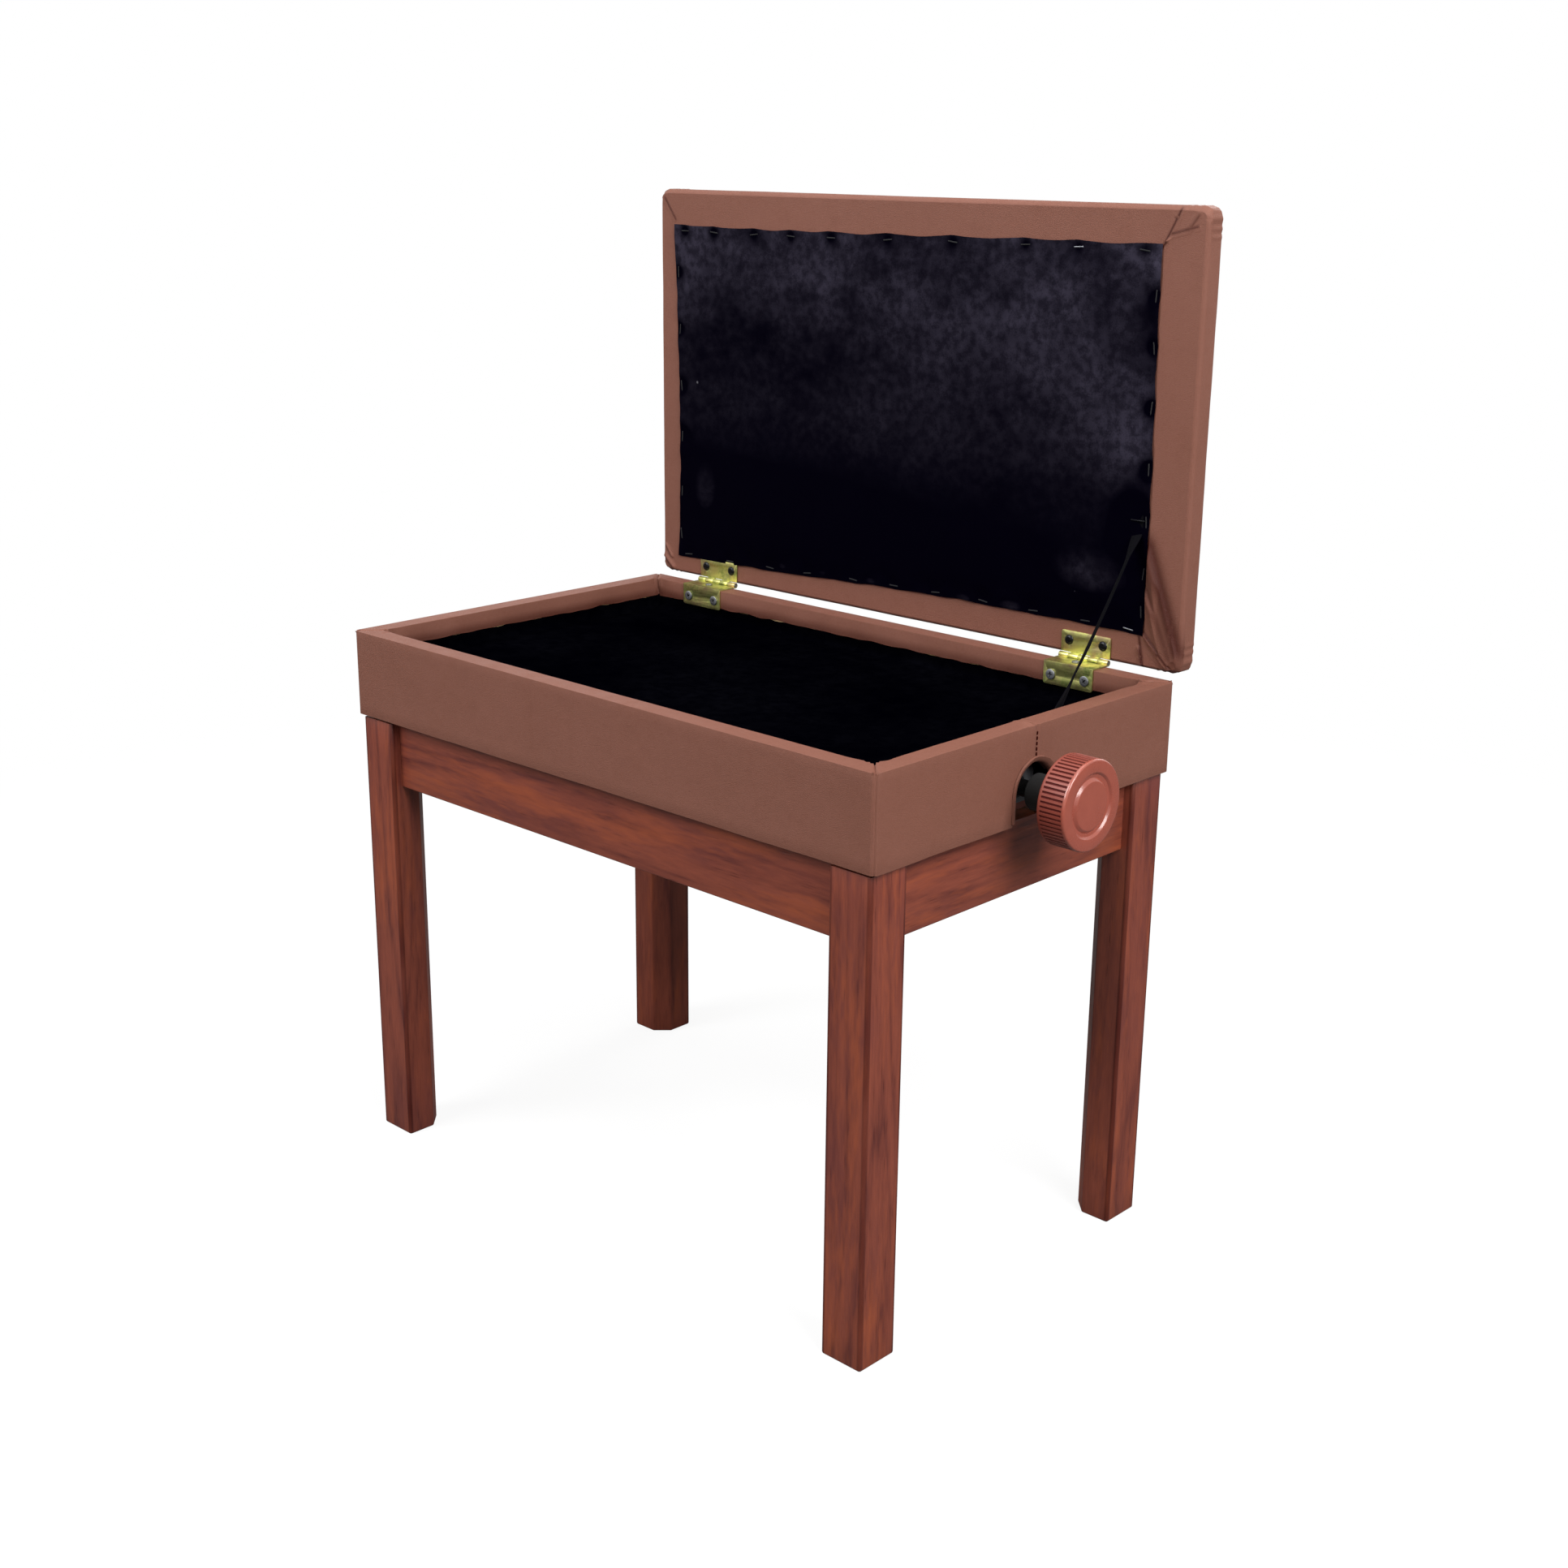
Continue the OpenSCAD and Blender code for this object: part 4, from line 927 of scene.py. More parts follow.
@dataclass
class Studio:
    """Camera at the photograph's angle, soft lamps, and a pale floor.

    Attributes:
        eye: Place of the camera.
        target: Point that the camera looks at.
        roll: Turn of the camera about its own line of sight.
        lens: Focal length in millimetres, on a square frame.
        sensor: Side of the frame in millimetres.
        ambient: Strength of the even light from all round.
        floor_half: Half the side of the floor.
        floor_tone: Share of the light that the floor gives back.
        floor_lift: Light that the camera adds to the floor, so that it is white but for its shadow.
        floor_fade: Distances from the stool between which the floor turns plain white.
        lamps: Name, place, side in metres and power in watts of each lamp.
    """

    eye: tuple[float, float, float] = (1.05125, -1.11155, 0.7998)
    target: tuple[float, float, float] = (0.00776, -0.01117, 0.33029)
    roll: float = math.radians(0.57)
    lens: float = 47.51
    sensor: float = 36.0
    ambient: float = 0.18
    floor_half: float = 6.0
    floor_tone: float = 0.14
    floor_lift: float = 0.87
    floor_fade: tuple[float, float] = (0.75, 1.5)
    lamps: tuple[tuple[str, tuple[float, float, float], float, float], ...] = (
        ("key", (-0.8, -2.2, 2.2), 1.6, 72.0),
        ("side", (2.2, -0.45, 2.0), 1.5, 86.0),
        ("top", (0.2, 0.1, 2.7), 2.0, 27.0),
        ("back", (-0.5, 2.8, 1.7), 1.6, 30.0),
    )

    def build(self) -> None:
        """Sets up the camera, the lamps, the world and the floor."""
        self.camera()
        self.world()
        for lamp in self.lamps:
            self.lamp(*lamp)
        self.floor()
        bpy.context.scene.view_settings.view_transform = "Standard"

    def camera(self) -> None:
        """Adds the camera."""
        data = bpy.data.cameras.new("camera")
        data.lens, data.sensor_width, data.sensor_height = self.lens, self.sensor, self.sensor
        data.sensor_fit = "HORIZONTAL"
        data.clip_start = 0.05
        camera = linked("camera", data)
        turn = Matrix.Rotation(self.roll, 4, "Z")
        camera.matrix_world = self.facing_target(self.eye) @ turn
        bpy.context.scene.camera = camera

    def facing_target(self, place: Sequence[float]) -> Matrix:
        """The pose of what stands at a place and looks at the target."""
        turn = (Vector(place) - Vector(self.target)).to_track_quat("Z", "Y")
        return Matrix.Translation(place) @ turn.to_matrix().to_4x4()

    def world(self) -> None:
        """White for the camera and for reflections, an even softer light for the rest."""
        world = bpy.data.worlds.new("studio")
        world.use_nodes = True
        bpy.context.scene.world = world
        nodes = Nodes(world.node_tree)
        path = nodes.add("ShaderNodeLightPath").outputs
        seen = nodes.math("MAXIMUM", path["Is Camera Ray"], path["Is Transmission Ray"])
        soft = nodes.scale(path["Is Glossy Ray"], (0, 1), (self.ambient, 1.0))
        background = world.node_tree.nodes["Background"]
        background.inputs["Color"].default_value = (1, 1, 1, 1)
        strength = nodes.add("ShaderNodeMix", {0: seen, 2: soft, 3: 1.0}, data_type="FLOAT").outputs[0]
        nodes.feed(background.inputs["Strength"], strength)

    def lamp(self, name: str, place: Sequence[float], size: float, power: float) -> None:
        """Adds a soft square lamp that looks at the target."""
        data = bpy.data.lights.new(name, "AREA")
        data.size, data.energy = size, power
        lamp = linked(name, data)
        lamp.matrix_world = self.facing_target(place)

    def floor(self) -> None:
        """Adds the floor: it takes the shadow near the stool and fades to white further out."""
        Blank.clear()
        bpy.ops.mesh.primitive_plane_add(size=2 * self.floor_half)
        floor = Blank.fresh("floor").obj
        material = bpy.data.materials.new("floor_white")
        material.use_nodes = True
        nodes = Nodes(material.node_tree)
        shader = material.node_tree.nodes["Principled BSDF"]
        tone = (self.floor_tone, self.floor_tone, self.floor_tone, 1)
        nodes.fill(shader, {"Base Color": tone, "Roughness": 0.9, "Specular IOR Level": 0.0})
        seen = nodes.add("ShaderNodeLightPath").outputs["Is Camera Ray"]
        lift = nodes.add("ShaderNodeEmission", {"Strength": nodes.math("MULTIPLY", seen, self.floor_lift)})
        both = nodes.add("ShaderNodeAddShader", {0: shader.outputs[0], 1: lift.outputs[0]})
        white = nodes.add("ShaderNodeEmission", {"Strength": 1.0})
        where = nodes.add("ShaderNodeTexCoord").outputs["Object"]
        far = nodes.add("ShaderNodeVectorMath", {0: where}, operation="LENGTH").outputs["Value"]
        share = nodes.math("MULTIPLY", nodes.scale(far, self.floor_fade), seen)
        faded = nodes.add("ShaderNodeMixShader", {0: share, 1: both.outputs[0], 2: white.outputs[0]})
        nodes.feed(material.node_tree.nodes["Material Output"].inputs["Surface"], faded.outputs[0])
        floor.data.materials.append(material)


# Leg frame


@dataclass
class LegFrame:
    """Four legs, four rails and the corner blocks and bolts that tie them.

    Attributes:
        edge: Rounding of a leg's edges.
        chamfer: Flat cut along the inner corner of a leg.
        chamfer_reach: Distance from that corner within which the flat's own edges lie.
        foot: Rounding at a leg's foot.
        rail_edge: Rounding of a rail's edges.
    """

    edge: float = 2.2 * MM
    chamfer: float = 12 * MM
    chamfer_reach: float = 14 * MM
    foot: float = 1.6 * MM
    rail_edge: float = 1.0 * MM

    def build(self) -> None:
        """Builds the frame."""
        low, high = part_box("leg_front_left")[0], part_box("leg_rear_right")[1]
        middle = (Vector(low) + Vector(high)) / 2
        for corner in CORNERS:
            self.leg(f"leg_{corner}", middle)
        for name, along in (("front", Axis.X), ("rear", Axis.X), ("left", Axis.Y), ("right", Axis.Y)):
            self.rail(f"rail_{name}", along)
        for corner in CORNERS:
            refine(f"corner_block_{corner}", "base", "plywood", bare_wood("block_wood", Axis.Z), 0.8 * MM)
        refine("leg_bolts", "base", "steel", STEEL, 0.3 * MM)
        refine("leg_nuts", "base", "steel", STEEL, 0.35 * MM)

    def leg(self, node: str, middle: Vector) -> None:
        """Models one leg: round edges, a flat cut towards the middle and an eased foot."""
        low, high = map(Vector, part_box(node))
        leg = Blank.block(f"{node}_post", low, high)
        inner = Vector((low.x if low.x > middle.x else high.x, low.y if low.y > middle.y else high.y))

        def outer(at: Vector) -> bool:
            """Tells what lies clear of the inner corner's flat."""
            return (at.xy - inner).length > self.chamfer_reach

        leg.ease_edges(runs(Axis.Z, lambda at: (at.xy - inner).length < NEAR), self.chamfer, 1)
        leg.ease_edges(runs(Axis.Z, outer), self.edge, 4)
        leg.ease_edges(lambda at, way: at.z < low.z + NEAR, self.foot, 3)
        leg.soften(0.5 * MM, 2, 40)
        for axis in (Axis.X, Axis.Y):
            for inset in (self.edge + 0.2 * MM, self.edge + 1.2 * MM):
                leg.bisect(axis.way * (low[axis.value] + inset), axis.way)
                leg.bisect(axis.way * (high[axis.value] - inset), axis.way)
        leg.slice(Axis.Z, low.z, high.z, 24 * MM)

        def edge(at: Vector) -> float:
            """Tells how near a place is to one of the leg's outer edges."""
            deep = max(min(at.x - low.x, high.x - at.x), min(at.y - low.y, high.y - at.y))
            ragged = 0.75 + 0.5 * noise.noise(at * 30)
            return ragged if deep < self.edge + 0.3 * MM and outer(at) else 0.0

        leg.outward()
        leg.mark("edge", edge)
        leg.smooth()
        leg.hand_over("base", "mahogany", wood("mahogany", Axis.Z, MAHOGANY), node)

    def rail(self, node: str, along: Axis) -> None:
        """Models one rail with eased edges."""
        low, high = map(Vector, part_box(node))
        rail = Blank.block(f"{node}_board", low, high)
        rail.ease_edges(runs(along), self.rail_edge, 3)
        rail.outward()
        rail.smooth()
        rail.hand_over("base", "mahogany", wood("mahogany", along, MAHOGANY), node)


def refine(node: str, body: str, slot: str, finish: Finish, edge: float, angle: float = 32.0) -> None:
    """Replaces a CAD node by a merged copy with eased edges.

    Args:
        node: The CAD node.
        body: Body that it moves with.
        slot: Material slot, passed on when the piece is handed over.
        finish: Its finish.
        edge: Rounding of its edges.
        angle: Edges sharper than this are rounded.
    """
    piece = Blank.copy_of(f"{node}_fine", node)
    if edge:
        piece.soften(edge, 2, angle)
    piece.smooth(angle)
    piece.hand_over(body, slot, finish, node)


# Seat box


@dataclass
class SeatBox:
    """The covered box: leatherette over four boards, the tray and its lining.

    Attributes:
        rim: Width of the covered rim.
        lip: How far the leatherette turns down inside.
        hem: How far it turns under the boards.
        hem_drop: How far the hem lies under the boards' lower edges.
        edge: Rounding of the top edges.
        foot_edge: Rounding of the bottom edge.
        corner: Rounding of the outer corners in plan.
        skin: Thickness of the leatherette.
        cell: Size of the mesh's squares.
        crease: Depth of the fold along an upright corner.
        pucker: Height of the gathers in the inner corners.
        notch: Radius of the arched notch round the screw.
        notch_roll: Rounding of the leatherette where it turns into the notch.
        lining_edge: How far the tray's cloth stands off between its staples.
        lining_cell: Size of the squares of the tray's cloth.
        lid_room: How far a gather may stand up under the closed lid.
        board_edge: Rounding of the boards' edges.
        seam_cuts: How many cuts on each side of the seam let it bulge.
        seam_pitch: Distance between those cuts.
        mitre_cuts: Cuts along a corner's mitre, in millimetres from it.
        corner_cuts: Cuts across the rim's corners, in millimetres from the outer corner.
    """

    rim: float = 16 * MM
    lip: float = 15 * MM
    hem: float = 12.5 * MM
    hem_drop: float = 1.7 * MM
    edge: float = 4.8 * MM
    foot_edge: float = 2.4 * MM
    corner: float = 5.2 * MM
    skin: float = 1.4 * MM
    cell: float = 5 * MM
    crease: float = 0.7 * MM
    pucker: float = 0.8 * MM
    notch: float = 21 * MM
    notch_roll: float = 4 * MM
    lining_edge: float = 1.6 * MM
    lining_cell: float = 5 * MM
    lid_room: float = 0.1 * MM
    board_edge: float = 0.4 * MM
    seam_cuts: int = 6
    seam_pitch: float = 1.1 * MM
    mitre_cuts: tuple[float, ...] = (-3.5, -1.8, -0.7, 0.7, 1.8, 3.5)
    corner_cuts: tuple[float, ...] = (6, 8, 10, 12, 14, 18, 20, 22)

    def build(self) -> None:
        """Builds the box."""
        self.low, self.high = map(Vector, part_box("rim_cover"))
        self.middle = (self.low + self.high) / 2
        self.axis_z = (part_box("lead_screw")[0][2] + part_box("lead_screw")[1][2]) / 2
        self.cover()
        self.notch_edge()
        self.seam()
        self.lining()
        for node in ("board_front", "board_rear", "tray_floor", "batten_front", "batten_rear"):
            refine(node, "seat_box", "plywood", bare_wood("plywood", Axis.X), self.board_edge)
        for node in ("board_left", "board_right"):
            refine(node, "seat_box", "plywood", bare_wood("plywood", Axis.Y), self.board_edge)

    def cover(self) -> None:
        """Models the leatherette: sides, rounded rim, inner lip and the hem under the boards."""
        low, high = self.low, self.high
        cover = Blank.block("rim_leatherette", low, high)
        cover.pick(Element.FACE, facing(Axis.Z, 1))
        cover.inset(self.rim)
        cover.extrude((0, 0, -self.lip))
        cover.delete(Element.FACE)
        cover.pick(Element.FACE, lambda at, way: at.z < low.z + NEAR)
        cover.inset(self.hem)
        cover.delete(Element.FACE)
        cover.ease_edges(runs(Axis.Z, lambda at: self.depth(at) < 1 * MM), self.corner, 8)
        cover.ease_edges(runs(Axis.Z, lambda at: self.depth(at) > 1 * MM), self.edge, 5)
        inner_edge = self.edge - 0.8 * MM
        cover.ease_edges(lambda at, way: at.z > high.z - NEAR and self.depth(at) < 3 * MM, self.edge, 5)
        cover.ease_edges(lambda at, way: at.z > high.z - NEAR and self.depth(at) > 13 * MM, inner_edge, 5)
        cover.ease_edges(lambda at, way: at.z < low.z + NEAR and self.depth(at) < 3 * MM, self.foot_edge, 3)
        for axis in (Axis.X, Axis.Y):
            cover.slice(axis, low[axis.value], high[axis.value], self.cell)
        cover.slice(Axis.Z, low.z + self.foot_edge, high.z - self.lip, self.cell)
        cover.slice(Axis.Z, high.z - self.lip, high.z - self.edge, 2 * MM)
        for step in range(-self.seam_cuts, self.seam_cuts + 1):
            cover.score(self.by_seam, (0, self.middle.y + step * self.seam_pitch, 0), (0, 1, 0))
        for side in ((-1, -1), (-1, 1), (1, -1), (1, 1)):
            corner = Vector((high.x if side[0] > 0 else low.x, high.y if side[1] > 0 else low.y, 0))
            across = Vector((side[0], -side[1], 0)).normalized()
            for step in self.mitre_cuts:
                cover.score(self.at_corner(corner), corner + across * step * MM, across)
            for step in self.corner_cuts:
                for axis in (Axis.X, Axis.Y):
                    place = corner - axis.way * side[axis.value] * step * MM
                    cover.score(self.at_corner(corner), place, axis.way)
        cover.shape(self.pull)
        self.open_notch(cover)
        cover.modify("SOLIDIFY", thickness=self.skin, offset=-1.0)
        # Paints shade on the lower part of the inner lip.
        cover.mark("fold", self.shade)
        cover.smooth(50)
        cover.hand_over("seat_box", "leatherette", BROWN, "rim_cover")

    def shade(self, at: Vector) -> float:
        """How much painted shade a place of the leatherette gets: most low on the lip, where it meets the
        tray's cloth.
        """
        drop = (self.high.z - at.z) / self.lip
        if self.depth(at) <= self.rim - 2.2 * MM or drop >= 1.4:
            return 0.0
        wear_and_shade = 0.25 * noise.noise(at * 30)
        return max(0.0, min(1.0, ease((drop - 0.35) / 0.6) * 0.75 + wear_and_shade * drop))

    def open_notch(self, cover: Blank) -> None:
        """Cuts the arched notch out of the side, one straight cut after another round its edge."""
        reach = self.notch + self.notch_roll * 0.6
        centre = Vector((self.high.x, self.middle.y, self.axis_z))
        ways = [Vector((0, math.cos(k * math.pi / 24), math.sin(k * math.pi / 24))) for k in range(25)]

        def within(at: Vector, slack: float) -> bool:
            """Tells whether a place is inside the arch, or nearly so."""
            out = max(way.dot(at - centre) for way in ways)
            return at.x > self.high.x - 15 * MM and out < reach + slack

        for way in ways:
            cover.score(lambda at, normal: within(at, 3 * MM), centre + way * reach, way)
        cover.pick(Element.FACE, lambda at, normal: within(at, 0.0))
        cover.delete(Element.FACE)

    def depth(self, at: Vector) -> float:
        """Distance of a place from the box's outer outline."""
        return min(at.x - self.low.x, self.high.x - at.x, at.y - self.low.y, self.high.y - at.y)

    def by_seam(self, at: Vector, way: Vector) -> bool:
        """Tells the faces beside the seam over the notch."""
        near = abs(at.y - self.middle.y) < 12 * MM and at.x > self.high.x - self.rim - 2 * MM
        return near and at.z > self.axis_z

    def at_corner(self, corner: Vector) -> Test:
        """Test for the upper faces round a corner of the rim."""
        top = self.high.z - 6 * MM

        def test(at: Vector, way: Vector) -> bool:
            """Tells a face by its place."""
            return (at.xy - corner.xy).length < 34 * MM and at.z > top and self.depth(at) > 2 * MM

        return test

    def pull(self, at: Vector) -> Vector:
        """How far the leatherette stands off its plain shape at a place."""
        x0, x1 = at.x - self.low.x, self.high.x - at.x
        y0, y1 = at.y - self.low.y, self.high.y - at.y
        dx, dy = min(x0, x1), min(y0, y1)
        side = Vector((1 if x1 < x0 else -1, 1 if y1 < y0 else -1, 0))
        out = Vector((side.x, 0, 0)) if dx < dy else Vector((0, side.y, 0))
        depth = min(dx, dy)
        move = Vector((0, 0, 0))
        wave = noise.noise(at * 26.0) * 0.28 + noise.noise(at * 70.0) * 0.14
        mitre = abs(dx - dy) / math.sqrt(2)
        reach = math.hypot(dx - self.rim, dy - self.rim)
        top = ease((at.z - self.high.z + 7 * MM) / (5 * MM))
        if dx < self.corner and dy < self.corner:
            arm = Vector((self.corner - dx, self.corner - dy))
            if arm.length > 0.3 * MM:
                c, t = arm.x / arm.length, arm.y / arm.length
                grow = (c**2.5 + t**2.5) ** (-1 / 2.5) - 1
                move += Vector((side.x * arm.x, side.y * arm.y, 0)) * grow
                crease = bump(math.atan2(t, c) - math.pi / 4, 0.16) * ease(arm.length / self.corner)
                move -= Vector((side.x * c, side.y * t, 0)) * crease * self.crease
        if depth < 4 * MM:
            height = (at.z - self.low.z) / (self.high.z - self.low.z)
            move += out * (wave * MM - 0.3 * MM * bump(height - 0.5, 0.45)) * ease(max(dx, dy) / (20 * MM))
            move.z += 0.5 * MM * noise.noise(at * 18) * (1 - ease(height * 6))
        elif depth > self.rim - 1 * MM:
            drop = ease((self.high.z - at.z) / self.lip)
            along = at.y if dx < dy else at.x
            loose = noise.noise(Vector((along * 34, out.x * 3 + out.y * 7, 0.3)))
            move += -out * (wave * MM + loose * 1.1 * MM * drop)
            if drop > 0.97:
                move.z += 1.5 * MM * noise.noise(Vector((along * 55, 5.1, out.x)))
        else:
            move.z += wave * MM * 1.2
        move.z -= self.hem_drop * ease(1 - (at.z - self.low.z) / (6 * MM))
        move.z -= top * 1.5 * MM * bump(mitre, 0.8 * MM) * (1 - ease((reach - 20 * MM) / (3 * MM)))
        move.z += top * 0.8 * MM * bump(mitre - 3.2 * MM, 2.2 * MM) * bump(reach - 4 * MM, 9 * MM)
        if depth > self.rim - 6 * MM:
            pucker = math.sin(math.atan2(dy - self.rim - 3 * MM, dx - self.rim - 3 * MM) * 7 + at.z * 260)
            move += (-out * 0.9 + Vector((0, 0, 0.5))) * pucker * self.pucker * bump(reach - 6 * MM, 13 * MM)
        if self.by_seam(at, out):
            d = at.y - self.middle.y
            edge = out if depth < 4 * MM else -out if depth > self.rim - 1 * MM else Vector((0, 0, 1))
            height = (1.6 if edge.z else 0.9) * MM
            move += edge * (height * bump(d + 4.4 * MM, 3 * MM) - 0.5 * MM * bump(d, 1.2 * MM))
            move += edge * 0.4 * MM * bump(d - 3 * MM, 2.4 * MM)
        room = self.lid_room + min(1.7 * MM, 0.95 * SHUT_TILT * (at.y - self.low.y))
        over = at.z + move.z - self.high.z - room + 0.5 * MM
        if over > 0:
            move.z -= over - 0.5 * MM * math.tanh(over / (0.5 * MM))
        return move

    def notch_edge(self) -> None:
        """Models the leatherette that rolls into the arched notch, with painted shade where it turns in, and
        the black cloth behind it, which also stands in for the notch's deep shade.
        """
        face, roll = self.high.x, self.notch_roll
        y, z = self.middle.y, self.axis_z

        def flare(at: Vector) -> Vector:
            """Opens the band in a quarter round at the face of the side."""
            t = max(0.0, (at.x - (face - roll)) / roll)
            spread = roll * (1 - math.sqrt(max(0.0, 1 - t * t)))
            away = Vector((0, at.y - y, max(0.0, at.z - z)))
            ripple = noise.noise(at * 120) * 0.35 * MM
            return away.normalized() * (spread + ripple) + Vector((0.25 * MM * t, 0, 0))

        span = (face - 5 * MM, face)
        band = self.sleeve("notch_leatherette", span, self.notch, 64, 0.6 * MM, (0.7 * MM, 4 * MM))
        band.shape(flare)
        band.inward()
        # Paints shade deeper into the notch.
        band.mark("fold", lambda at: ease((face - 0.2 * MM - at.x) / (3 * MM)))
        band.modify("SOLIDIFY", thickness=1.6 * MM, offset=-1.0)
        band.smooth(60)
        band.hand_over("seat_box", "leatherette", BROWN)
        # Black cloth sleeve: lining cloth that also stands in for the deep shade inside the notch.
        span = (face - 19 * MM, face - 2.6 * MM)
        cloth = self.sleeve("notch_cloth", span, self.notch - 1.4 * MM, 48, 1.0 * MM, (4 * MM, 6 * MM))
        cloth.shape(lambda at: Vector((0, 1, 1)) * noise.noise(at * 90) * 0.4 * MM)
        cloth.inward()
        cloth.modify("SOLIDIFY", thickness=0.8 * MM, offset=-1.0)
        cloth.smooth(60)
        cloth.hand_over("seat_box", "lining", TRAY_CLOTH)

    def sleeve(
        self, name: str, span: Sequence[float], radius: float, sides: int, foot: float, cell: Sequence[float]
    ) -> Blank:
        """Makes an open sleeve with the shape of the notch: a half round on two upright sides.

        Args:
            name: Name of the piece.
            span: Where it starts and ends, across the stool.
            radius: Radius of its arch.
            sides: Sides of the whole round that the arch is half of.
            foot: How far above the box's lower edge it ends.
            cell: Size of its squares, across the stool and up.

        Returns:
            The sleeve.
        """
        y, z = self.middle.y, self.axis_z
        band = Blank.rod(name, (span[0], y, z), (span[1], y, z), radius, sides, "NOTHING")
        band.bisect((0, 0, z), (0, 0, 1), "inner")
        band.pick(Element.EDGE, runs(Axis.X, lambda at: abs(at.z - z) < NEAR))
        band.extrude((0, 0, self.low.z + foot - z))
        band.slice(Axis.Z, self.low.z, z, cell[1])
        band.slice(Axis.X, *span, cell[0])
        return band

    def seam(self) -> None:
        """Models the stitches of the seam above the notch."""
        face = self.high.x - 0.2 * MM
        y = self.middle.y
        low = self.axis_z + self.notch + self.notch_roll
        stitch = Blank.rod("seam_stitches", (face, y, low), (face, y, low + 2.3 * MM), 0.6 * MM, 10)
        stitch.soften(0.3 * MM, 2)
        pitch = 3.7 * MM
        count = int((self.high.z - self.edge - low) / pitch) + 1
        stitches = stitch.repeat([Matrix.Translation((0, 0, pitch * k)) for k in range(count)])
        stitches.smooth()
        stitches.hand_over("seat_box", "leatherette", THREAD)

    def lining(self) -> None:
        """Models the tray's cloth: a tub with puckered corners and a wavy stapled edge."""
        low, high = map(Vector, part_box("tray_lining"))
        tub = Blank.block("tray_cloth", low, high)
        tub.pick(Element.FACE, facing(Axis.Z, 1))
        tub.delete(Element.FACE)
        tub.ease_edges(lambda at, way: abs(at.z - high.z) > 1 * MM, 4 * MM, 3)
        tub.slice(Axis.X, low.x, high.x, self.lining_cell)
        tub.slice(Axis.Y, low.y, high.y, self.lining_cell)
        tub.slice(Axis.Z, low.z + 4 * MM, high.z, 2.4 * MM)
        middle = (low + high) / 2

        def slack(at: Vector) -> Vector:
            """Lets the cloth hang a little loose between its staples."""
            height = (at.z - low.z) / (high.z - low.z)
            dx, dy = min(at.x - low.x, high.x - at.x), min(at.y - low.y, high.y - at.y)
            along = at.x if dx > dy else at.y
            wave = math.sin(along * 2 * math.pi / (42 * MM)) + 0.6 * noise.noise(Vector((along * 30, 0.7, 0)))
            push = Vector((0, 0, 0))
            if dx < 4 * MM:
                push.x = math.copysign(1, middle.x - at.x)
            if dy < 4 * MM:
                push.y = math.copysign(1, middle.y - at.y)
            swell = (0.5 + 0.5 * wave) * self.lining_edge * (0.3 + 0.7 * height)
            move = push * (0.25 * MM + max(0.0, swell) * 0.55)
            if height > 0.85:
                move.z += 0.9 * MM * wave
            if height < 0.2:
                bulge = noise.noise(at * 22) * 1.4 * MM + noise.noise(at * 60) * 0.4 * MM
                move.z += 0.25 * MM + max(0.0, bulge)
            return move

        tub.shape(slack)
        tub.outward()
        tub.inward()
        tub.modify("SOLIDIFY", thickness=0.7 * MM, offset=-1.0)
        tub.smooth(60)
        cloth = tub.hand_over("seat_box", "lining", TRAY_CLOTH, "tray_lining")


# Lid


@dataclass(frozen=True)
class Fold:
    """A fold in the leatherette of the lid's underside, in metres across and up the lid.

    Attributes:
        start: Where it starts.
        end: Where it ends.
        width: Half width of the fold.
        height: How far it stands up.
        dark: How dark the painted shade on its steep side is.
    """

    start: tuple[float, float]
    end: tuple[float, float]
    width: float
    height: float
    dark: float

    def across(self, u: float, v: float) -> tuple[float, float]:
        """Distance of a place from the fold's line, and how much of the fold is left there."""
        a, b = Vector(self.start), Vector(self.end)
        way = b - a
        length = way.length
        along = (Vector((u, v)) - a).dot(way) / length
        distance = (u - a.x) * way.y / length - (v - a.y) * way.x / length
        reach = 2.5 * self.width
        left = ease((along + self.width) / reach) * ease((length + self.width - along) / reach)
        return distance, left

    def lift(self, u: float, v: float) -> float:
        """Height of the fold at a place: a steep side and a gentle one."""
        distance, taper = self.across(u, v)
        return self.height * taper * bump(distance, self.width * (0.45 if distance < 0 else 1.4))

    def shade(self, u: float, v: float) -> float:
        """Painted shade of the fold at a place, darkest on its steep side."""
        distance, taper = self.across(u, v)
        return self.dark * taper * bump(distance + self.width * 0.55, self.width * 0.9)


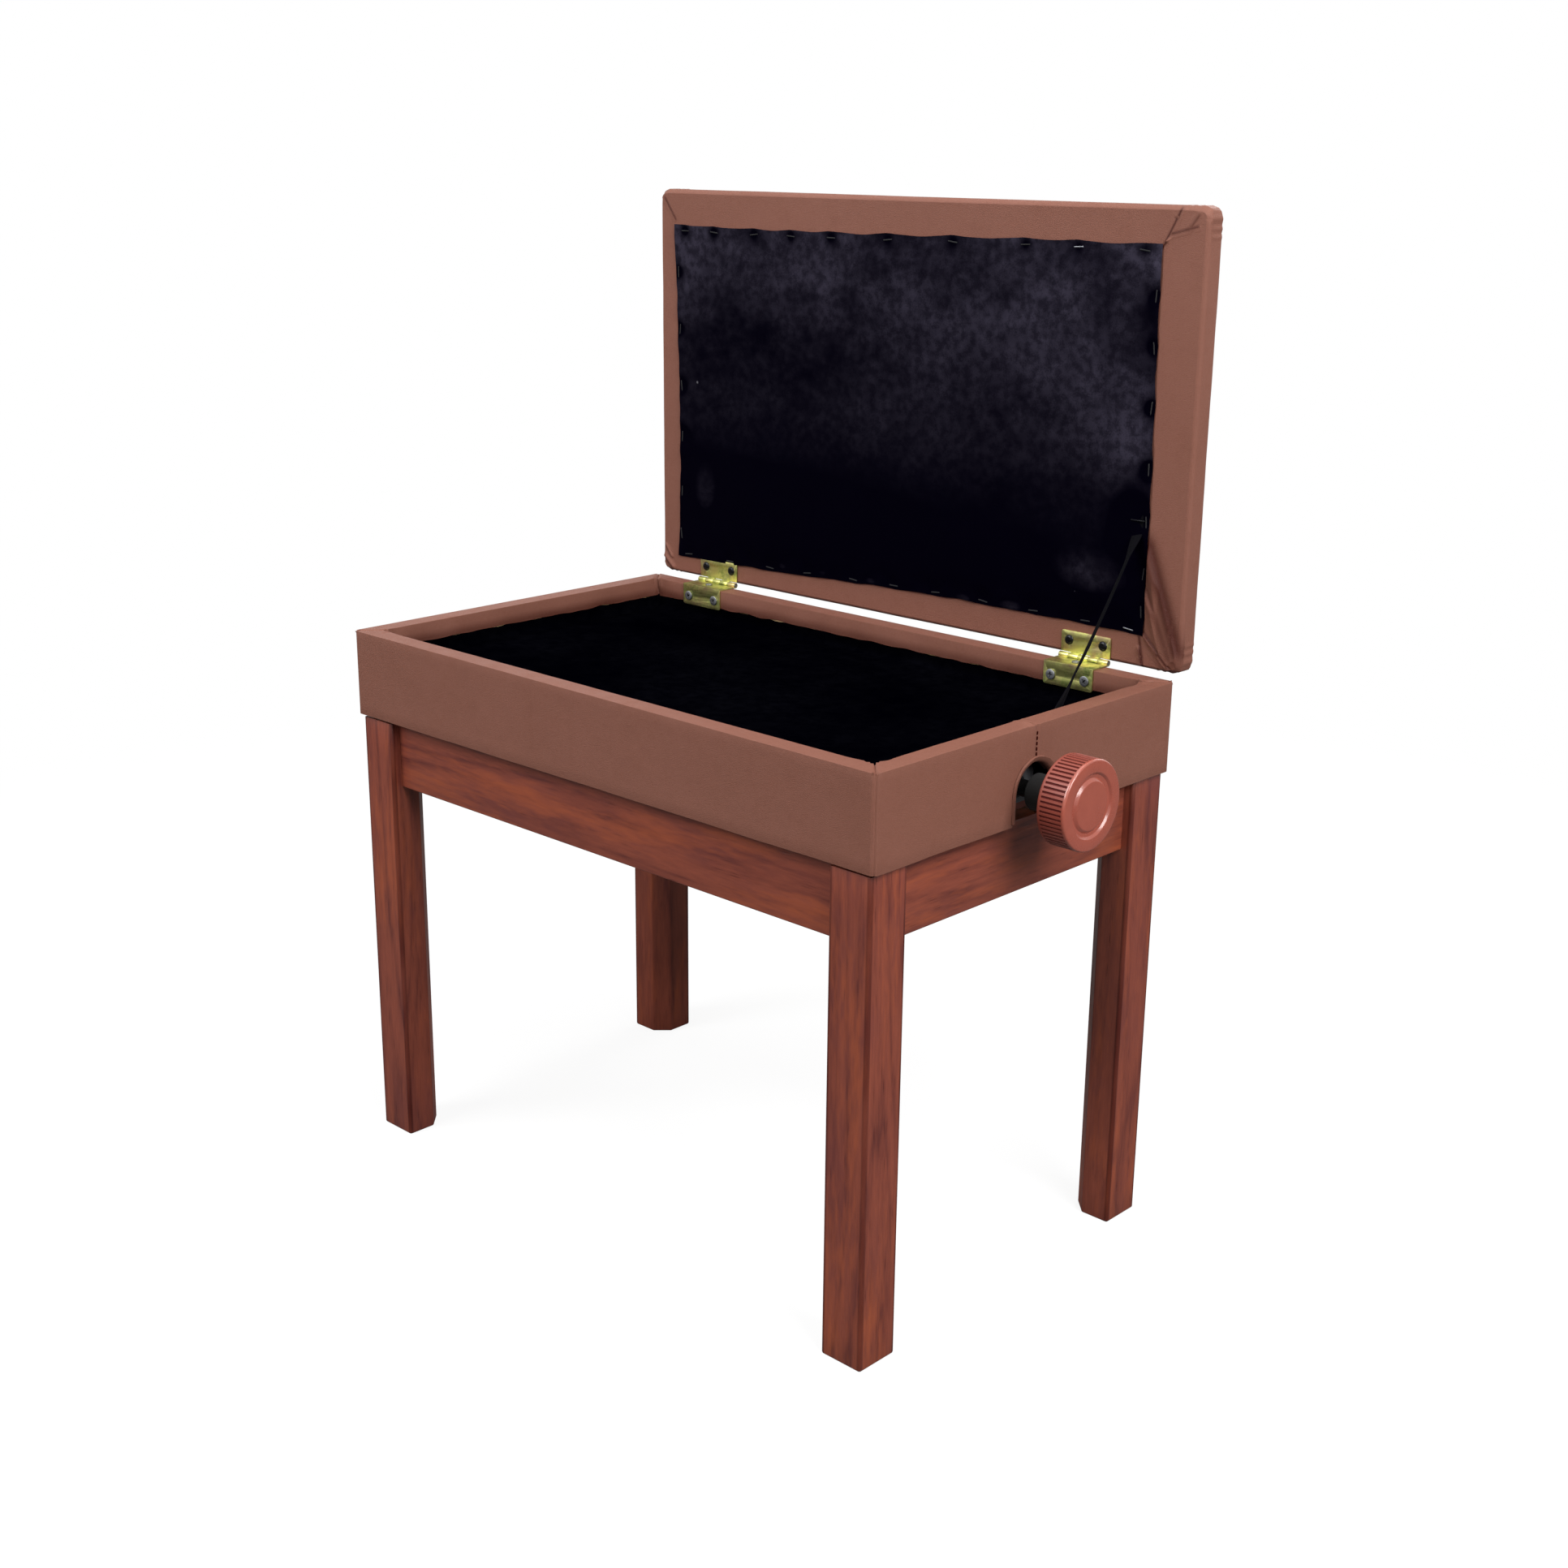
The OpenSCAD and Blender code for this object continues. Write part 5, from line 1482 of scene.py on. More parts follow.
@dataclass
class Lid:
    """The hinged lid: a padded leatherette cushion over a board, lined underneath.

    Attributes:
        slack: How far its sides start inside their place before it swells.
        crown: How far its top starts below its place.
        voxel: Size of the remeshed squares.
        eased: Rounds of smoothing that ease the padding's upper edge.
        rise: How far its middle rises.
        pressure: Pressure that swells it.
        cap: How far the point that swells most may move.
        frames: Length of the simulation.
        corner: Rounding of the corners in plan.
        shoulder: Rounding of the upper edge.
        edge: Rounding of the lower edge.
        border: How far the finer mesh of the underside reaches in.
        top_staples: Staples of the lining along its top, across from the lid's middle.
        bottom_staples: The same along its bottom.
        left_staples: Staples along its left side, up from the lid's lower edge.
        right_staples: The same along its right side.
        bright: Which of all the staples are bright, in the order of spots().
        rim_room: How far a fold may stand up where the closed lid lies over the rim.
        cloth_low: Across and up the lid, where the lining starts before its edges are drawn in.
        cloth_size: How far it reaches from there.
        cloth_steps: How many squares it has across and up.
        wire: Half the length, depth and height of a staple.
    """

    slack: float = 0.4 * MM
    crown: float = 6.0 * MM
    voxel: float = 6.4 * MM
    eased: int = 22
    rise: float = 1.5 * MM
    pressure: float = 4.0
    cap: float = 5.0 * MM
    frames: int = 20
    corner: float = 7.5 * MM
    shoulder: float = 15 * MM
    edge: float = 2.6 * MM
    border: float = 6 * MM
    top_staples: tuple[float, ...] = (-243, -208, -161, -119, -75, -15, 50, 119, 167, 224)
    bottom_staples: tuple[float, ...] = (-240, -188, -140, -96, -44, 0, 44, 92, 141, 190, 228.5)
    left_staples: tuple[float, ...] = (36, 74, 122, 166, 214, 262)
    right_staples: tuple[float, ...] = (42, 70, 108, 146, 190, 232, 268)
    bright: tuple[int, ...] = (8, 20)
    rim_room: float = 0.2 * MM
    cloth_low: tuple[float, float] = (-254 * MM, 17 * MM)
    cloth_size: tuple[float, float] = (494 * MM, 286 * MM)
    cloth_steps: tuple[int, int] = (210, 120)
    wire: tuple[float, float, float] = (5 * MM, 0.3 * MM, 0.45 * MM)

    def build(self) -> None:
        """Builds the lid."""
        self.low, self.high = map(Vector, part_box("lid_cover"))
        self.middle = (self.low + self.high) / 2
        self.half = (self.high.x - self.low.x) / 2
        self.height = self.high.z - self.low.z
        self.creases = self.folds()
        self.cushion()
        self.lining()
        self.staples()

    def folds(self) -> list[Fold]:
        """Folds of the border: mitres at the corners and drawn creases beside the lower right one."""
        half, top = self.half / MM, self.height / MM
        places = [
            ((half - 37, top - 30), (half - 21, top + 1), 1.1, 2.4, 1.0),
            ((half - 31, top - 20), (half - 8, top - 14), 1.2, 1.6, 0.8),
            ((half - 9, top - 5), (half - 18, top - 17), 1.3, 1.2, 0.5),
            ((-half + 5, top - 6), (-half + 20, top - 26), 1.2, 1.3, 0.9),
            ((-half + 16, 2), (-half + 2, 14), 2.0, 1.6, 1.0),
            ((-half + 13, 12), (-half + 4, 24), 1.4, 1.0, 0.6),
            ((half - 39, 98), (half - 4, 8), 6.4, 4.2, 1.0),
            ((half - 36, 62), (half - 9, 6), 3.8, 2.8, 0.6),
            ((half - 36, 28), (half - 8, 2), 1.5, 2.4, 0.9),
            ((half - 38, 24), (half - 33, 0), 1.4, 2.2, 1.0),
        ]
        return [
            Fold((a * MM, b * MM), (c * MM, d * MM), width * MM, height * MM, dark)
            for (a, b), (c, d), width, height, dark in places
        ]

    def cushion(self) -> None:
        """Models the cushion: swollen by a cloth simulation, then folded at the border."""
        low, high = self.low, self.high
        gap = Vector((self.slack, 0, self.slack))
        top = high.y - self.crown
        pad = Blank.block("lid_cushion", low + gap, Vector((high.x, top, high.z)) - gap)
        pad.ease_edges(runs(Axis.Y), self.corner, 5)
        pad.ease_edges(lambda at, way: at.y > top - NEAR, self.shoulder, 6)
        pad.modify("REMESH", mode="VOXEL", voxel_size=self.voxel)
        loose = pad.obj.vertex_groups.new(name="loose")
        for vertex in pad.obj.data.vertices:
            loose.add([vertex.index], ease((vertex.co.y - low.y - 9 * MM) / (9 * MM)), "REPLACE")
        pad.modify("SMOOTH", factor=0.5, iterations=self.eased, vertex_group="loose")
        pad.shape(self.dome)
        self.swell(pad)
        pad.modify("SUBSURF", levels=1, render_levels=1)
        pad.split(self.by_edge)
        pad.shape(self.tuck)
        for fine in (self.by_border, self.in_corner, self.by_fold):
            pad.split(lambda at, way: at.y < low.y + 0.5 * MM and fine(at))
        # Marks the folds' painted shade for the leatherette's fold colour.
        pad.mark("fold", self.shade)
        pad.shape(self.settle)
        pad.smooth(60)
        cushion = pad.hand_over("lid", "leatherette", BROWN, "lid_cover", "lid_foam")

    def dome(self, at: Vector) -> Vector:
        """Raises the middle of the padding."""
        across = (at.x - self.middle.x) / self.half
        up = (at.z - self.middle.z) / (self.height / 2)
        share = ease((at.y - self.low.y - 14 * MM) / (10 * MM))
        return Vector((0, self.rise * (1 - across**4) * (1 - up**4) * share, 0))

    def inset(self, at: Vector) -> float:
        """Distance of a place from the lid's outline."""
        return min(at.x - self.low.x, self.high.x - at.x, at.z - self.low.z, self.high.z - at.z)

    def by_edge(self, at: Vector, way: Vector) -> bool:
        """Tells the faces by the lower edge and up the corners, which must be crisp."""
        rise, deep = at.y - self.low.y, self.inset(at)
        side = min(self.half - abs(at.x - self.middle.x), 1.0) + self.height / 2 - abs(at.z - self.middle.z)
        return rise < 21 * MM and (side < 30 * MM or (deep < 8 * MM and rise < 8 * MM))

    def on_lid(self, at: Vector) -> tuple[float, float]:
        """Where a place lies on the lid: across from its middle, and up from its lower edge."""
        return at.x - self.middle.x, at.z - self.low.z

    def by_border(self, at: Vector) -> bool:
        """Tells the outermost border and the corners of the underside."""
        return self.inset(at) < self.border or self.in_corner(at)

    def by_fold(self, at: Vector) -> bool:
        """Tells the places close to the line of a narrow fold."""
        lines = (fold.across(*self.on_lid(at)) for fold in self.creases if fold.width < 3 * MM)
        return any(abs(distance) < 2.5 * MM and left > 0.01 for distance, left in lines)

    def shade(self, at: Vector) -> float:
        """Painted shade that the folds lay on a place of the underside."""
        if at.y > self.low.y + 4 * MM:
            return 0.0
        u, v = self.on_lid(at)
        return min(1.0, max(fold.shade(u, v) for fold in self.creases))

    def in_corner(self, at: Vector) -> bool:
        """Tells the corners of the underside, whose folds need a finer mesh."""
        u, v = self.on_lid(at)
        tall = 108 * MM if u > 0 and v < self.height / 2 else 40 * MM
        return abs(u) > self.half - 46 * MM and min(v, self.height - v) < tall

    def swell(self, pad: Blank) -> None:
        """Swells the cushion with a cloth simulation, its underside held by the board."""
        pad.rest()
        obj = pad.obj
        before = [v.co.copy() for v in obj.data.vertices]
        held = obj.vertex_groups.new(name="held")
        for vertex in obj.data.vertices:
            rise = vertex.co.y - self.low.y
            weight = 1.0 - 0.9 * ease(rise / (14 * MM)) if rise < 14 * MM else 0.0
            held.add([vertex.index], weight, "REPLACE")
        cloth = obj.modifiers.new("cloth", "CLOTH")
        settings = cloth.settings
        settings.vertex_group_mass = "held"
        settings.use_pressure, settings.uniform_pressure_force = True, self.pressure
        settings.quality = 5
        settings.tension_stiffness = settings.compression_stiffness = 12
        settings.effector_weights.gravity = 0
        cloth.point_cache.frame_start, cloth.point_cache.frame_end = 1, self.frames
        scene = bpy.context.scene
        for step in range(1, self.frames + 1):
            scene.frame_set(step)
        pad.rest()
        bpy.ops.object.modifier_apply(modifier=cloth.name)
        scene.frame_set(1)
        most = max((vertex.co - old).length for vertex, old in zip(obj.data.vertices, before))
        for vertex, old in zip(obj.data.vertices, before):
            vertex.co = old.lerp(vertex.co, min(1.0, self.cap / most))
        obj.data.update()
        log.info("the cushion swells by up to %.1f mm", most / MM)

    def tuck(self, at: Vector) -> Vector:
        """Draws the sides and the underside to the board's crisp outline."""
        rise = at.y - self.low.y
        fade = 1 - ease((rise - 15 * MM) / (6 * MM))
        if fade <= 0:
            return Vector((0, 0, 0))
        dx = self.half - abs(at.x - self.middle.x)
        dz = self.height / 2 - abs(at.z - self.middle.z)
        side = Vector((math.copysign(1, at.x - self.middle.x), 0, math.copysign(1, at.z - self.middle.z)))
        arm = Vector((max(0.0, self.corner - dx), max(0.0, self.corner - dz)))
        if arm.x > 0 and arm.y > 0:
            deep = self.corner - arm.length
            out = Vector((side.x * arm.x, 0, side.z * arm.y)) / arm.length
        else:
            deep = min(dx, dz)
            out = Vector((side.x, 0, 0)) if dx < dz else Vector((0, 0, side.z))
        r = self.edge
        if deep < r and rise < r:
            spoke = Vector((r - deep, r - rise))
            spoke *= r / max(spoke.length, 1e-9)
            target = (r - spoke.x, r - spoke.y)
        elif deep < max(r, rise * 0.8) and rise >= 0.4 * MM:
            target = (0.0, rise)
        else:
            target = (deep, 0.0)
        return (out * (deep - target[0]) + Vector((0, target[1] - rise, 0))) * fade

    def settle(self, at: Vector) -> Vector:
        """Adds the folds of the underside and the slight waves of the stretched leatherette."""
        move = Vector((0, 0, 0))
        u, v = self.on_lid(at)
        rise = at.y - self.low.y
        wave = noise.noise(at * 20) * 0.5 + noise.noise(at * 55) * 0.2
        if rise < 4 * MM:
            bare = max(u - 240 * MM, -253 * MM - u, v - self.height + 27 * MM, 17 * MM - v)
            room = self.rim_room + max(0.0, SHUT_TILT * (self.height - v) - 1.8 * MM)
            room += 2.4 * MM * ease((self.inset(at) - 21 * MM) / (6 * MM))
            lift = min(room, sum(fold.lift(u, v) for fold in self.creases) * ease(bare / (4 * MM)))
            move.y -= lift * (1 - rise / (4 * MM))
            move.y += 0.25 * MM * wave
        elif rise > 8 * MM:
            move.y += 0.5 * MM * wave
        if self.inset(at) < 3 * MM:
            move.x += 0.25 * MM * wave
            move.z += 0.25 * MM * wave
        w = v - self.height / 2
        du, dv = abs(u) - self.half + 22 * MM, abs(w) - self.height / 2 + 22 * MM
        if du > 0 and dv > 0 and rise > 3 * MM:
            gather = math.sin(math.atan2(dv, du) * 26) * 0.35 * MM * ease(math.hypot(du, dv) / (16 * MM))
            move += Vector((math.copysign(du, u), 0, math.copysign(dv, w))).normalized() * gather
        return move

    def outline(self, side: str, along: float) -> float:
        """How far the lining's edge is drawn in between two staples.

        Args:
            side: Which edge: top, bottom, left or right.
            along: Place along the edge, in metres, as its staples count it.

        Returns:
            Distance that the edge lies inside the line of its staples.
        """
        stops = [stop * MM for stop in getattr(self, f"{side}_staples")]
        for a, b in zip(stops, stops[1:]):
            if a <= along <= b:
                bow = math.sin(math.pi * (along - a) / (b - a))
                uneven = 0.7 * MM * noise.noise(Vector((along * 40, len(side), 0.5)))
                return bow * ((b - a) * 0.022 + uneven)
        return 0.0

    def rim_of(self, side: str, along: float) -> float:
        """Where the lining's staple line runs: across for the upright edges, up for the level ones."""
        if side == "top":
            return self.height - 27.4 * MM + 1.5 * MM * math.sin(along * 9)
        if side == "bottom":
            return (15.5 + 9 * ease((along / MM + 240) / 330)) * MM
        if side == "left":
            return (-253.5 + 3.0 * math.sin(along * 13)) * MM
        return (240 + 2.0 * math.sin(along * 11 + 0.9)) * MM

    def lining(self) -> None:
        """Models the black cloth under the lid: wavy edges pulled in at the staples."""
        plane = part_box("lid_lining")[0][1]
        sheet = Blank.grid("lid_cloth", (0, 0, 0), (1, 0, 1), self.cloth_steps)
        centre = self.middle.x

        def lay(at: Vector) -> Vector:
            """Lays the cloth: pulled flat at its staples, loose between them."""
            u = self.cloth_low[0] + at.x * self.cloth_size[0]
            v = self.cloth_low[1] + at.z * self.cloth_size[1]
            left = self.rim_of("left", v) + self.outline("left", v)
            right = self.rim_of("right", v) - self.outline("right", v)
            bottom = self.rim_of("bottom", u) + self.outline("bottom", u)
            top = self.rim_of("top", u) - self.outline("top", u)
            x = left + (right - left) * at.x
            z = bottom + (top - bottom) * at.z
            near = min(x - left, right - x, z - bottom, top - z)
            pull = min(self.pull(x, z), 1.0)
            loose = ease(near / (26 * MM))
            place = Vector((x, 0.3, z))
            waves = 0.9 + 1.5 * noise.noise(place * 10) + 0.7 * noise.noise(place * 27)
            puff = (0.35 + 0.65 * loose) * waves
            ripple = (1 - loose) * 0.9 * noise.noise(place * 70)
            y = plane + 0.1 * MM - max(0.0, puff + ripple + 0.5) * MM * (1 - pull)
            return Vector((centre + x, y, self.low.z + z)) - at

        sheet.shape(lay)
        sheet.modify("SOLIDIFY", thickness=0.5 * MM, offset=0.0)
        # Marks painted light and shade on the lining.
        sheet.mark("painted_light_and_shade", self.painted_light_and_shade)
        sheet.smooth(60)
        cloth = sheet.hand_over("lid", "lining", LID_CLOTH, "lid_lining")

    def spots(self) -> list[tuple[float, float, bool]]:
        """Every staple of the lining: its place across and up the lid, and whether it lies level."""
        spots = [(x * MM, self.rim_of("top", x * MM) - 5 * MM, True) for x in self.top_staples]
        spots += [(x * MM, self.rim_of("bottom", x * MM) + 3 * MM, True) for x in self.bottom_staples]
        spots += [(self.rim_of("left", z * MM) + 3 * MM, z * MM, False) for z in self.left_staples]
        spots += [(self.rim_of("right", z * MM) - 3 * MM, z * MM, False) for z in self.right_staples]
        return spots

    def pull(self, u: float, v: float) -> float:
        """How strongly the staples near a place pull the cloth down."""
        return sum(bump(math.hypot(u - x, v - z), 7 * MM) for x, z, _ in self.spots())

    def painted_light_and_shade(self, at: Vector) -> float:
        """Painted light and shade on the lining: lighter and darker patches where the cloth catches or loses
        the light, and painted shade at its staples.

        Args:
            at: The place.

        Returns:
            What the finish adds to its clouds there.
        """
        u, v = self.on_lid(at)
        patches = (
            (232, 254, 14, 16, -0.6), (226, 111, 16, 26, -0.5), (193, 64, 26, 12, 0.5),
            (-218, 74, 15, 20, 0.4), (220, 155, 18, 26, 0.25), (225, 285, 24, 14, 0.25),
            (-243, 195, 8, 50, 0.2), (-110, 55, 90, 30, -0.3), (-125, 24, 9, 4, 0.6),
            (-78, 25, 9, 4, 0.5), (-25, 26, 9, 4, 0.5), (73, 27, 10, 4, 0.5), (120, 28, 11, 4, 0.7),
        )
        light = 0.0
        for x, z, wide, high, share in patches:
            light += share * bump(math.hypot((u / MM - x) / wide, (v / MM - z) / high), 1.0)
        return light - 0.9 * min(1.0, self.pull(u, v))

    def staples(self) -> None:
        """Models the staples of the lining, two of them bright."""
        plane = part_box("lid_lining")[0][1]
        moves, lone = [], []
        for k, (x, z, level) in enumerate(self.spots()):
            angle = math.radians(7 * math.sin(k * 2.3)) + (0 if level else math.pi / 2)
            move = Matrix.Translation((self.middle.x + x, plane - 0.4 * MM, self.low.z + z))
            (lone if k in self.bright else moves).append(move @ Matrix.Rotation(angle, 4, "Y"))
        for name, places, slot, finish in (
            ("lining_staples", moves, "black_steel", DARK_WIRE),
            ("lining_staple_bright", lone, "steel", STEEL),
        ):
            half = Vector(self.wire)
            wire = Blank.block(name, -half, half)
            wire.slice(Axis.X, -half.x, half.x, 1 * MM)
            wire.shape(lambda at: Vector((0, 0.5 * MM * ease((abs(at.x) - 4 * MM) / MM), 0)))
            wire.soften(0.2 * MM, 2)
            row = wire.repeat(places)
            row.smooth()
            row.hand_over("lid", slot, finish)


# Lift, screw and hinges


@dataclass
class Lift:
    """The crossed arms, their channels, shafts and slide blocks.

    Attributes:
        edge: Rounding of the edges of arms, channels, blocks and the nut.
        rod_edge: Rounding of the ends of rods and shafts.
        screw_edge: Rounding of the screws' heads.
    """

    edge: float = 0.4 * MM
    rod_edge: float = 0.5 * MM
    screw_edge: float = 0.25 * MM

    def build(self) -> None:
        """Builds the lift from the frame's own shapes, with eased edges."""
        for where, body in (("lower", "base"), ("upper", "seat_box")):
            for depth in ("front", "rear"):
                refine(f"{where}_channel_{depth}", body, "steel", STEEL, self.edge)
            refine(f"{where}_channel_screws", body, "steel", STEEL, self.screw_edge)
        refine("base_pivot_rod", "base", "steel", STEEL_Y, self.rod_edge)
        refine("box_pivot_rod", "seat_box", "steel", STEEL_Y, self.rod_edge)
        for depth in ("front", "rear"):
            for arm in ("base_arm", "box_arm"):
                refine(f"{arm}_{depth}", f"{arm}s", "black_steel", BLACK_STEEL, self.edge)
        refine("centre_rivets", "base_arms", "steel", STEEL, self.edge)
        refine("upper_shafts", "travelling_nut", "steel", STEEL_Y, self.rod_edge)
        refine("upper_slide_blocks", "travelling_nut", "nylon", NYLON, self.edge)
        refine("travelling_nut", "travelling_nut", "brass", BRASS, self.edge)
        refine("lower_shaft", "lower_shaft", "steel", STEEL_Y, self.rod_edge)
        refine("lower_slide_blocks", "lower_shaft", "nylon", NYLON, self.edge)


@dataclass
class Drive:
    """The lead screw, its bushes and brackets, and the ribbed knob.

    Attributes:
        screw_radius: Outer radius of the thread.
        thread_depth: Depth of the thread.
        pitch: Distance from one turn of the thread to the next.
        ribs: How many ribs the knob has.
        rib_depth: Depth of the valleys between them.
        rib_end: How far the valleys end short of the grip's faces.
        grip: Length of the knob's ribbed grip.
        ring: Width of the flat ring on its front.
        groove: Width of the groove inside the ring.
        groove_depth: Depth of the groove.
    """

    screw_radius: float = 6 * MM
    thread_depth: float = 0.9 * MM
    pitch: float = 1.75 * MM
    ribs: int = 60
    rib_depth: float = 1.1 * MM
    rib_end: float = 2.4 * MM
    grip: float = 22.5 * MM
    ring: float = 9 * MM
    groove: float = 6 * MM
    groove_depth: float = 1.6 * MM

    def build(self) -> None:
        """Builds the drive."""
        refine("screw_bushes", "seat_box", "nylon", BLACK_NYLON, 0.3 * MM)
        refine("screw_brackets", "seat_box", "black_steel", BLACK_STEEL, 0.5 * MM)
        refine("bracket_screws", "seat_box", "black_screws", BLACK_SCREW, 0.25 * MM)
        self.screw()
        self.knob()

    def screw(self) -> None:
        """Models the lead screw: its core from the frame's shape, with the thread wound round it."""
        low, high = map(Vector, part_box("lead_screw"))
        y, z = (low.y + high.y) / 2, (low.z + high.z) / 2
        brackets = solids_of("screw_brackets")
        start, end = brackets[0][1].x + 3 * MM, brackets[-1][0].x - 3 * MM
        root = self.screw_radius - self.thread_depth
        core = Blank.copy_of("lead_screw_core", "lead_screw")
        for place in (start - 0.5 * MM, start, end, end + 0.5 * MM):
            core.bisect((place, 0, 0), (1, 0, 0))

        def waist(at: Vector) -> Vector:
            """Thins the core where the thread is."""
            away = Vector((0, at.y - y, at.z - z))
            if not start - 0.1 * MM < at.x < end + 0.1 * MM or away.length < root:
                return Vector((0, 0, 0))
            return away.normalized() * (root + 0.1 * MM - away.length)

        core.shape(waist)
        Blank.clear()
        bpy.ops.mesh.primitive_circle_add(vertices=4, radius=1, fill_type="NOTHING")
        thread = Blank.fresh("thread")
        thread.pick(Element.VERT, lambda at, way: at.y < -0.5)
        thread.delete(Element.VERT)
        depth = self.thread_depth
        thread.shape(lambda at: Vector((at.x * self.pitch / 2, 0, root + depth * at.y)) - at)
        turns = int((end - start) / self.pitch)
        wind = {"steps": 14, "render_steps": 14, "screw_offset": self.pitch, "iterations": turns}
        thread.modify("SCREW", axis="X", use_merge_vertices=True, **wind)
        thread.shape(lambda at: Vector((start + self.pitch / 2, y, z)))
        screw = core.join(thread)
        screw.smooth(40)
        screw.hand_over("lead_screw", "steel", OILED, "lead_screw")

    @staticmethod
    def ring_at(x: float, slack: float, centre: Vector, span: tuple[float, float]) -> Test:
        """Test for the edges of a circle round the screw's line.

        Args:
            x: Where the circle lies along the screw.
            slack: How far an edge may lie from there.
            centre: A point of the screw's line.
            span: Least and greatest radius.

        Returns:
            The test.
        """

        def test(at: Vector, way: Vector) -> bool:
            """Tells an edge of the circle."""
            spoke = Vector((0, at.y - centre.y, at.z - centre.z))
            inside = abs(at.x - x) < slack and span[0] < spoke.length < span[1]
            return inside and abs(way.x) < 0.1 and abs(way.dot(spoke.normalized())) < 0.2

        return test

    def knob(self) -> None:
        """Models the knob: a ribbed grip with a flat ring, a groove and a raised disc."""
        low, high = map(Vector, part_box("knob"))
        y, z = (low.y + high.y) / 2, (low.z + high.z) / 2
        radius = (high.z - low.z) / 2
        back = high.x - self.grip
        front_end, back_end = high.x - self.rib_end, back + self.rib_end

        def depth(at: Vector) -> float:
            """How much painted shade a place gets: the hub most, the ribbed side by its depth, the front not.
            """
            inside = radius - math.hypot(at.y - y, at.z - z)
            if at.x < back + 1 * MM and inside > 2 * MM:
                return 2.0
            on_side = at.x < high.x - 1.8 * MM and inside < 2 * MM
            return 0.42 + 0.58 * ease((inside - 0.3 * MM) / (0.5 * MM)) if on_side else 0.0

        grip = Blank.rod("knob_grip", (back, y, z), (high.x, y, z), radius, self.ribs * 4)
        for place in (front_end, back_end, (back + high.x) / 2):
            grip.bisect((place, 0, 0), (1, 0, 0))
        step = 2 * math.pi / (self.ribs * 4)

        def is_valley(at: Vector, way: Vector) -> bool:
            """Tells every second pair of the grip's side faces."""
            if abs(way.x) > 0.5 or not back_end < at.x < front_end:
                return False
            angle = math.atan2(at.z - z, at.y - y) % (2 * math.pi)
            return int(angle / step) % 4 in (0, 1)

        grip.pick(Element.FACE, is_valley)
        grip.inset(0.25 * MM)
        bpy.ops.transform.shrink_fatten(value=-self.rib_depth)
        grip.pick(Element.FACE, lambda at, way: at.x > high.x - NEAR)
        grip.inset(self.ring)
        grip.inset(1.5 * MM, -self.groove_depth)
        grip.inset(self.groove - 3.6 * MM, -0.4 * MM)
        grip.inset(2.1 * MM, self.groove_depth + 0.2 * MM)
        grip.inset(2.0 * MM)
        grip.pick(Element.FACE, lambda at, way: at.x < back + NEAR)
        grip.inset(5 * MM)
        grip.inset(1 * MM, -6 * MM)
        grip.inset(12.5 * MM)
        grip.inset(0.6 * MM, 6 * MM)
        grip.extrude((low.x - back, 0, 0))
        centre, outside = Vector((0, y, z)), (radius - 0.3 * MM, radius + 1)
        grip.ease_edges(self.ring_at(high.x, NEAR, centre, outside), 1.5 * MM, 4)
        for r in (radius - self.ring, radius - self.ring - self.groove):
            test = self.ring_at(high.x, 0.6 * MM, centre, (r - 0.5 * MM, r + 0.5 * MM))
            grip.ease_edges(test, 0.45 * MM, 3)
        grip.ease_edges(self.ring_at(back, NEAR, centre, outside), 1.2 * MM, 3)
        # Marks painted shade on the knob: its hub black, its ribbed side darker, darkest in the valleys.
        grip.mark("edge", depth)
        grip.smooth(32)
        grip.hand_over("lead_screw", "knob", KNOB, "knob")


